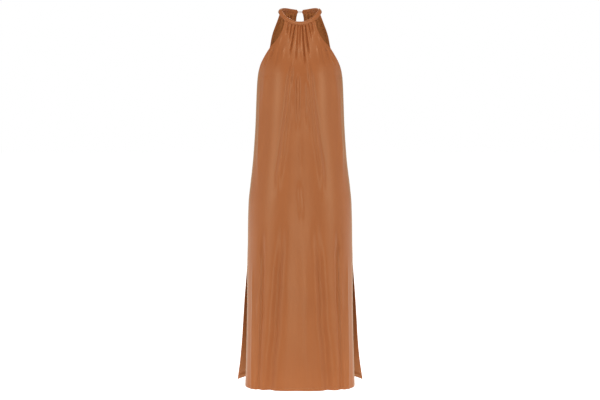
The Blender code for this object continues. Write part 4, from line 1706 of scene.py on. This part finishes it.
@dataclass
class NeckClosure:
    """The domed button on its thread shank, and the cord loop that goes round it."""

    ring: NeckRing
    finishes: Finishes
    button_radius: float = 4.7 * MM
    button_thickness: float = 2.6 * MM
    shank_radius: float = 1.3 * MM
    shank_length: float = 2.4 * MM
    dome_edge: float = 0.86
    dome_rows: int = 14
    dome_fall: float = 0.47
    dome_power: float = 2.6
    pressed_ring: tuple[float, float, float] = (0.055, 0.66, 0.07)
    rim_share: float = 0.26
    rim_swell: float = 1.05
    rim_rows: int = 10
    rim_begins: float = math.radians(62)
    rim_ends: float = math.radians(-90)
    thread_bulge: float = 0.096 * MM
    thread_low: float = -0.1 * MM
    thread_high: float = 0.55 * MM
    from_centre: float = 13.5 * MM
    half_wall: float = 1.6 * MM
    seam_gap: float = 0.3 * MM
    cord_radius: float = 0.75 * MM
    ply_radius: float = 0.40 * MM
    ply_pitch: float = 3.2 * MM
    loop_spread: float = 1.6 * MM
    loop_rise: float = 1.6 * MM
    anchored: float = 2.4 * MM
    cord_side: Place = (0.0, 1.0, 0.2)
    middle: float = 0.5
    button_steps: int = 44
    shank_steps: int = 24
    arc_points: int = 13
    path_points: int = 150
    smoothings: int = 6

    def seat(self) -> Matrix:
        """Where the button sits: on the outer face of the strip's left end."""
        from_nape = math.asin(self.from_centre / self.ring.half_width)
        return self.ring.frame_at(from_nape - math.pi, self.middle)

    def turned(self, profile: list[tuple[float, float]], steps: int) -> bmesh.types.BMesh:
        """Turns a profile of radii and heights about the button's axis.

        Args:
            profile: the radius and height of each point, from the top of the axis to its foot.
            steps: how many faces go round.

        Returns:
            The closed mesh, in its place on the strip.
        """
        mesh = bmesh.new()
        points = [mesh.verts.new((radius, 0.0, height)) for radius, height in profile]
        for first, second in zip(points, points[1:]):
            mesh.edges.new((first, second))
        geometry = mesh.verts[:] + mesh.edges[:]
        turn = {"axis": (0, 0, 1), "cent": (0, 0, 0), "angle": 2 * math.pi}
        bmesh.ops.spin(mesh, geom=geometry, steps=steps, use_merge=True, **turn)
        bmesh.ops.remove_doubles(mesh, verts=mesh.verts, dist=MERGE_DISTANCE)
        bmesh.ops.recalc_face_normals(mesh, faces=mesh.faces)
        bmesh.ops.transform(mesh, matrix=self.seat(), verts=mesh.verts)
        return mesh

    def build_button(self) -> bpy.types.Object:
        """Makes the button: a shallow dome with a rolled rim and a plain back.

        Returns:
            The piece.
        """
        foot = self.half_wall + self.seam_gap + self.shank_length
        thick, radius = self.button_thickness, self.button_radius
        shares = np.linspace(0, self.dome_edge, self.dome_rows)
        dome = [(radius * share, foot + thick * self.dome(share)) for share in shares]
        rim = self.rim_share * thick
        for angle in np.linspace(self.rim_begins, self.rim_ends, self.rim_rows):
            rise = self.rim_swell * rim * math.sin(angle)
            dome.append((radius - rim + rim * math.cos(angle), foot + rim + rise))
        back = [(radius * 0.7, foot), (radius * 0.4, foot + 0.02 * MM), (self.shank_radius, foot)]
        waist = self.shank_radius * 0.62
        shank = [(waist, foot - 0.3 * MM), (waist, foot - self.shank_length + 0.5 * MM)]
        closed = [(self.shank_radius * 0.7, foot - self.shank_length), (0.0, foot - self.shank_length)]
        mesh = self.turned([*dome, *back, *shank, *closed], self.button_steps)
        made = new_piece("closure_button", mesh, "neck_button", self.finishes.button)
        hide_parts("neck_button")
        return made

    def dome(self, share: float) -> float:
        """The dome's height at this share of its radius, with a faint ring pressed into it."""
        depth, middle, width = self.pressed_ring
        return 1.0 - self.dome_fall * share**self.dome_power - depth * bell(share - middle, width)

    def build_thread(self) -> bpy.types.Object:
        """Makes the thread wound round the shank, from the strip to the button's back.

        Returns:
            The piece.
        """
        low, high = self.half_wall + self.thread_low, self.half_wall + self.thread_high
        wound = []
        for share in np.linspace(0, 1, self.arc_points):
            wave = self.thread_bulge * math.cos(share * 6 * math.pi)
            wound.append((self.shank_radius * 0.98 - wave, high + (low - high) * share))
        mesh = self.turned([(0.0, high), *wound, (0.0, low)], self.shank_steps)
        return new_piece("button_thread", mesh, "neck_button", self.finishes.thread)

    def cord_path(self) -> Array:
        """The loop's centreline: out of the right end, round the button's shank and back into it.

        Returns:
            Points along it, in even steps.
        """
        seat = self.seat()
        lift_off = Vector((0, 0, self.half_wall + self.seam_gap * 2 + self.cord_radius))
        round_radius = self.shank_radius + self.cord_radius + self.seam_gap
        end = float(self.ring.end_turn(self.middle)) + self.seam_gap / self.ring.half_width
        right = self.ring.frame_at(end, self.middle)
        towards = (seat.inverted() @ right.translation).normalized()
        quarter = math.atan2(towards.y, towards.x)
        arc = []
        for angle in np.linspace(quarter + math.pi / 2, quarter + 3 * math.pi / 2, self.arc_points):
            off = Vector((math.cos(angle), math.sin(angle), 0)) * round_radius
            arc.append(seat @ (lift_off + off))
        sides = [-1, 1]
        starts = [right @ Vector((0, side * self.loop_spread, 0)) for side in sides]
        if (starts[0] - arc[0]).length > (starts[1] - arc[0]).length:
            starts.reverse()
            sides.reverse()
        inside = [right @ Vector((-self.anchored, side * self.loop_spread * 0.9, 0)) for side in sides]
        shares = np.linspace(0, 0.88, 8)
        leave = [starts[0].lerp(arc[0], share) + self.rise(share) for share in shares]
        arrive = [starts[1].lerp(arc[-1], share) + self.rise(share) for share in shares[::-1]]
        coarse = np.array([inside[0], *leave, *arc, *arrive, inside[1]])
        return self.rounded(coarse)

    def rise(self, share: float) -> Vector:
        """How far the strands rise off the straight line, to clear the strip's left end."""
        return Vector((0, self.loop_rise * math.sin(math.pi * share), 0))

    def rounded(self, coarse: Array) -> Array:
        """A smooth path of even steps through a coarse one.

        Args:
            coarse: the coarse path's points.

        Returns:
            The smooth path's points.
        """
        run = run_along(coarse)
        even = np.linspace(0, run[-1], self.path_points)
        path = np.stack([np.interp(even, run, coarse[:, axis]) for axis in range(3)], axis=-1)
        for _ in range(self.smoothings):
            path[1:-1] = (path[:-2] + 2 * path[1:-1] + path[2:]) / 4
        return path

    def build_loop(self) -> bpy.types.Object:
        """Makes the loop of cord: two plies twisted round each other.

        Returns:
            The piece.
        """
        path = self.cord_path()
        ahead = unit(np.gradient(path, axis=0))
        run = run_along(path)
        aside = unit(np.cross(ahead, np.array(self.cord_side)))
        third = np.cross(ahead, aside)
        mesh = new_cloth()
        for ply in (0, 1):
            phase = 2 * math.pi * run / self.ply_pitch + math.pi * ply
            off = (self.cord_radius - self.ply_radius) * 0.95
            axis = path + off * (np.cos(phase)[:, None] * aside + np.sin(phase)[:, None] * third)
            self.add_ply(mesh, axis, aside, third, run)
        bmesh.ops.remove_doubles(mesh, verts=mesh.verts, dist=MERGE_DISTANCE)
        bmesh.ops.holes_fill(mesh, edges=mesh.edges, sides=0)
        bmesh.ops.recalc_face_normals(mesh, faces=mesh.faces)
        made = new_piece("closure_cord", mesh, "button_loop", self.finishes.cord)
        lay_map(made)
        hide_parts("button_loop")
        return made

    def add_ply(self, mesh: bmesh.types.BMesh, axis: Array, aside: Array, third: Array, run: Array) -> None:
        """Adds one ply to the cord, as a grid rolled into a tube.

        Args:
            mesh: the cord's bmesh.
            axis: the ply's own centreline.
            aside: a direction across the cord at each point.
            third: the direction across both.
            run: distances along the cord.
        """
        round_it = np.linspace(0, 2 * math.pi, 9)[:, None, None]
        points = axis + self.ply_radius * (np.cos(round_it) * aside + np.sin(round_it) * third)
        cloth = np.stack(np.broadcast_arrays(run, round_it[..., 0] * self.ply_radius), axis=-1)
        lay_grid(mesh, points, cloth, np.ones(points.shape[:2]))

    def build(self) -> list[bpy.types.Object]:
        """Makes the button, its thread and the loop.

        Returns:
            The three pieces.
        """
        return [self.build_button(), self.build_thread(), self.build_loop()]


@dataclass
class Studio:
    """A pale floor, soft light and the camera."""

    floor_z: float = -1.42
    floor_reach: float = 8.0
    floor_back: float = 7.6
    camera_place: Place = (0.0, -3.6, -0.262)
    look_down: float = math.radians(5.98)
    lens: float = 63.385
    sensor: float = 36.0
    aim: Place = (0.0, 0.0, -0.6)
    sky: float = 0.33
    side_power: float = 8.0
    top_power: float = 20.0
    back_power: float = 45.0
    quarter_power: float = 42.0
    fill_power: float = 16.0

    def build(self) -> None:
        """Makes all of it."""
        self.lay_floor()
        self.hang_sky()
        self.add_light("left_softbox", (-2.6, 0.4, -0.4), self.side_power, (2.2, 2.2))
        self.add_light("right_softbox", (2.6, 0.4, -0.4), self.side_power, (2.2, 2.2))
        self.add_light("top_softbox", (0.0, -1.3, 1.9), self.top_power, (1.4, 1.4))
        self.add_light("back_softbox", (0.0, 3.2, 1.7), self.back_power, (1.6, 1.6))
        self.add_light("left_strip", (-3.1, -2.7, -0.2), self.quarter_power, (0.5, 2.2))
        self.add_light("right_strip", (3.1, -2.7, -0.2), self.quarter_power, (0.5, 2.2))
        self.add_light("low_fill", (0.0, -3.2, -1.2), self.fill_power, (0.8, 0.8))
        self.set_camera()
        bpy.context.scene.view_settings.view_transform = "Standard"

    def lay_floor(self) -> None:
        """Lays a pale floor under and behind the dress."""
        mesh = bmesh.new()
        bmesh.ops.create_grid(mesh, x_segments=8, y_segments=8, size=self.floor_reach)
        bmesh.ops.translate(mesh, verts=mesh.verts, vec=(0.0, self.floor_back, self.floor_z))
        data = bpy.data.meshes.new("studio_floor")
        mesh.to_mesh(data)
        mesh.free()
        floor = bpy.data.objects.new("studio_floor", data)
        bpy.context.scene.collection.objects.link(floor)
        data.materials.append(FloorFinish().make())

    def hang_sky(self) -> None:
        """Surrounds the scene with soft white light."""
        world = bpy.data.worlds.new("soft_white")
        bpy.context.scene.world = world
        world.use_nodes = True
        nodes, links = world.node_tree.nodes, world.node_tree.links
        seen = nodes.new("ShaderNodeBackground")
        seen.inputs["Color"].default_value = (1, 1, 1, 1)
        seen.inputs["Strength"].default_value = 1.0
        lit = nodes["Background"]
        lit.inputs["Color"].default_value = (1.0, 0.985, 0.965, 1)
        lit.inputs["Strength"].default_value = self.sky
        path, mix = nodes.new("ShaderNodeLightPath"), nodes.new("ShaderNodeMixShader")
        links.new(path.outputs["Is Camera Ray"], mix.inputs["Fac"])
        links.new(lit.outputs["Background"], mix.inputs[1])
        links.new(seen.outputs["Background"], mix.inputs[2])
        links.new(mix.outputs["Shader"], nodes["World Output"].inputs["Surface"])

    def add_light(self, name: str, place: Place, power: float, size: tuple[float, float]) -> None:
        """Adds a soft light aimed at the middle of the dress.

        Args:
            name: the light's name.
            place: where it stands.
            power: its power in watts.
            size: its width and height.
        """
        data = bpy.data.lights.new(name, "AREA")
        data.shape = "RECTANGLE"
        data.energy, data.size, data.size_y = power, *size
        light = bpy.data.objects.new(name, data)
        bpy.context.scene.collection.objects.link(light)
        light.location = place
        aim = Vector(self.aim) - Vector(place)
        light.rotation_euler = aim.to_track_quat("-Z", "Y").to_euler()

    def set_camera(self) -> None:
        """Sets up the camera, which looks down a little from bust height."""
        data = bpy.data.cameras.new("camera")
        data.lens, data.sensor_width = self.lens, self.sensor
        camera = bpy.data.objects.new("camera", data)
        bpy.context.scene.collection.objects.link(camera)
        camera.location = self.camera_place
        camera.rotation_euler = (math.pi / 2 - self.look_down, 0.0, 0.0)
        bpy.context.scene.camera = camera


def main() -> None:
    """Builds the dress and its studio, in the order in which the dress is sewn."""
    logging.basicConfig(level=logging.INFO, format="%(name)s: %(message)s")
    ring = NeckRing()
    finishes = Finishes()
    front = PanelForm(Facing.FRONT, ring, FRONT_ARMHOLE, FRONT_SLIT, FRONT_FOLDS, FRONT_HALF_ANGLE)
    back = PanelForm(Facing.BACK, ring, BACK_ARMHOLE, BACK_SLIT, BACK_FOLDS, BACK_HALF_ANGLE)
    makers = (
        Neckband(ring, finishes),
        FrontShell(front, finishes, "front_shell", "front_panel", (0.49, 1.27), 0.58),
        BackShell(back, finishes, "back_shell", "back_panel", (0.50, 1.29), 0.58),
        NeckClosure(ring, finishes),
    )
    for maker in makers:
        for piece in maker.build():
            LOG.info("made %s", piece.name)
    Studio().build()


if __name__ == "__main__":
    main()
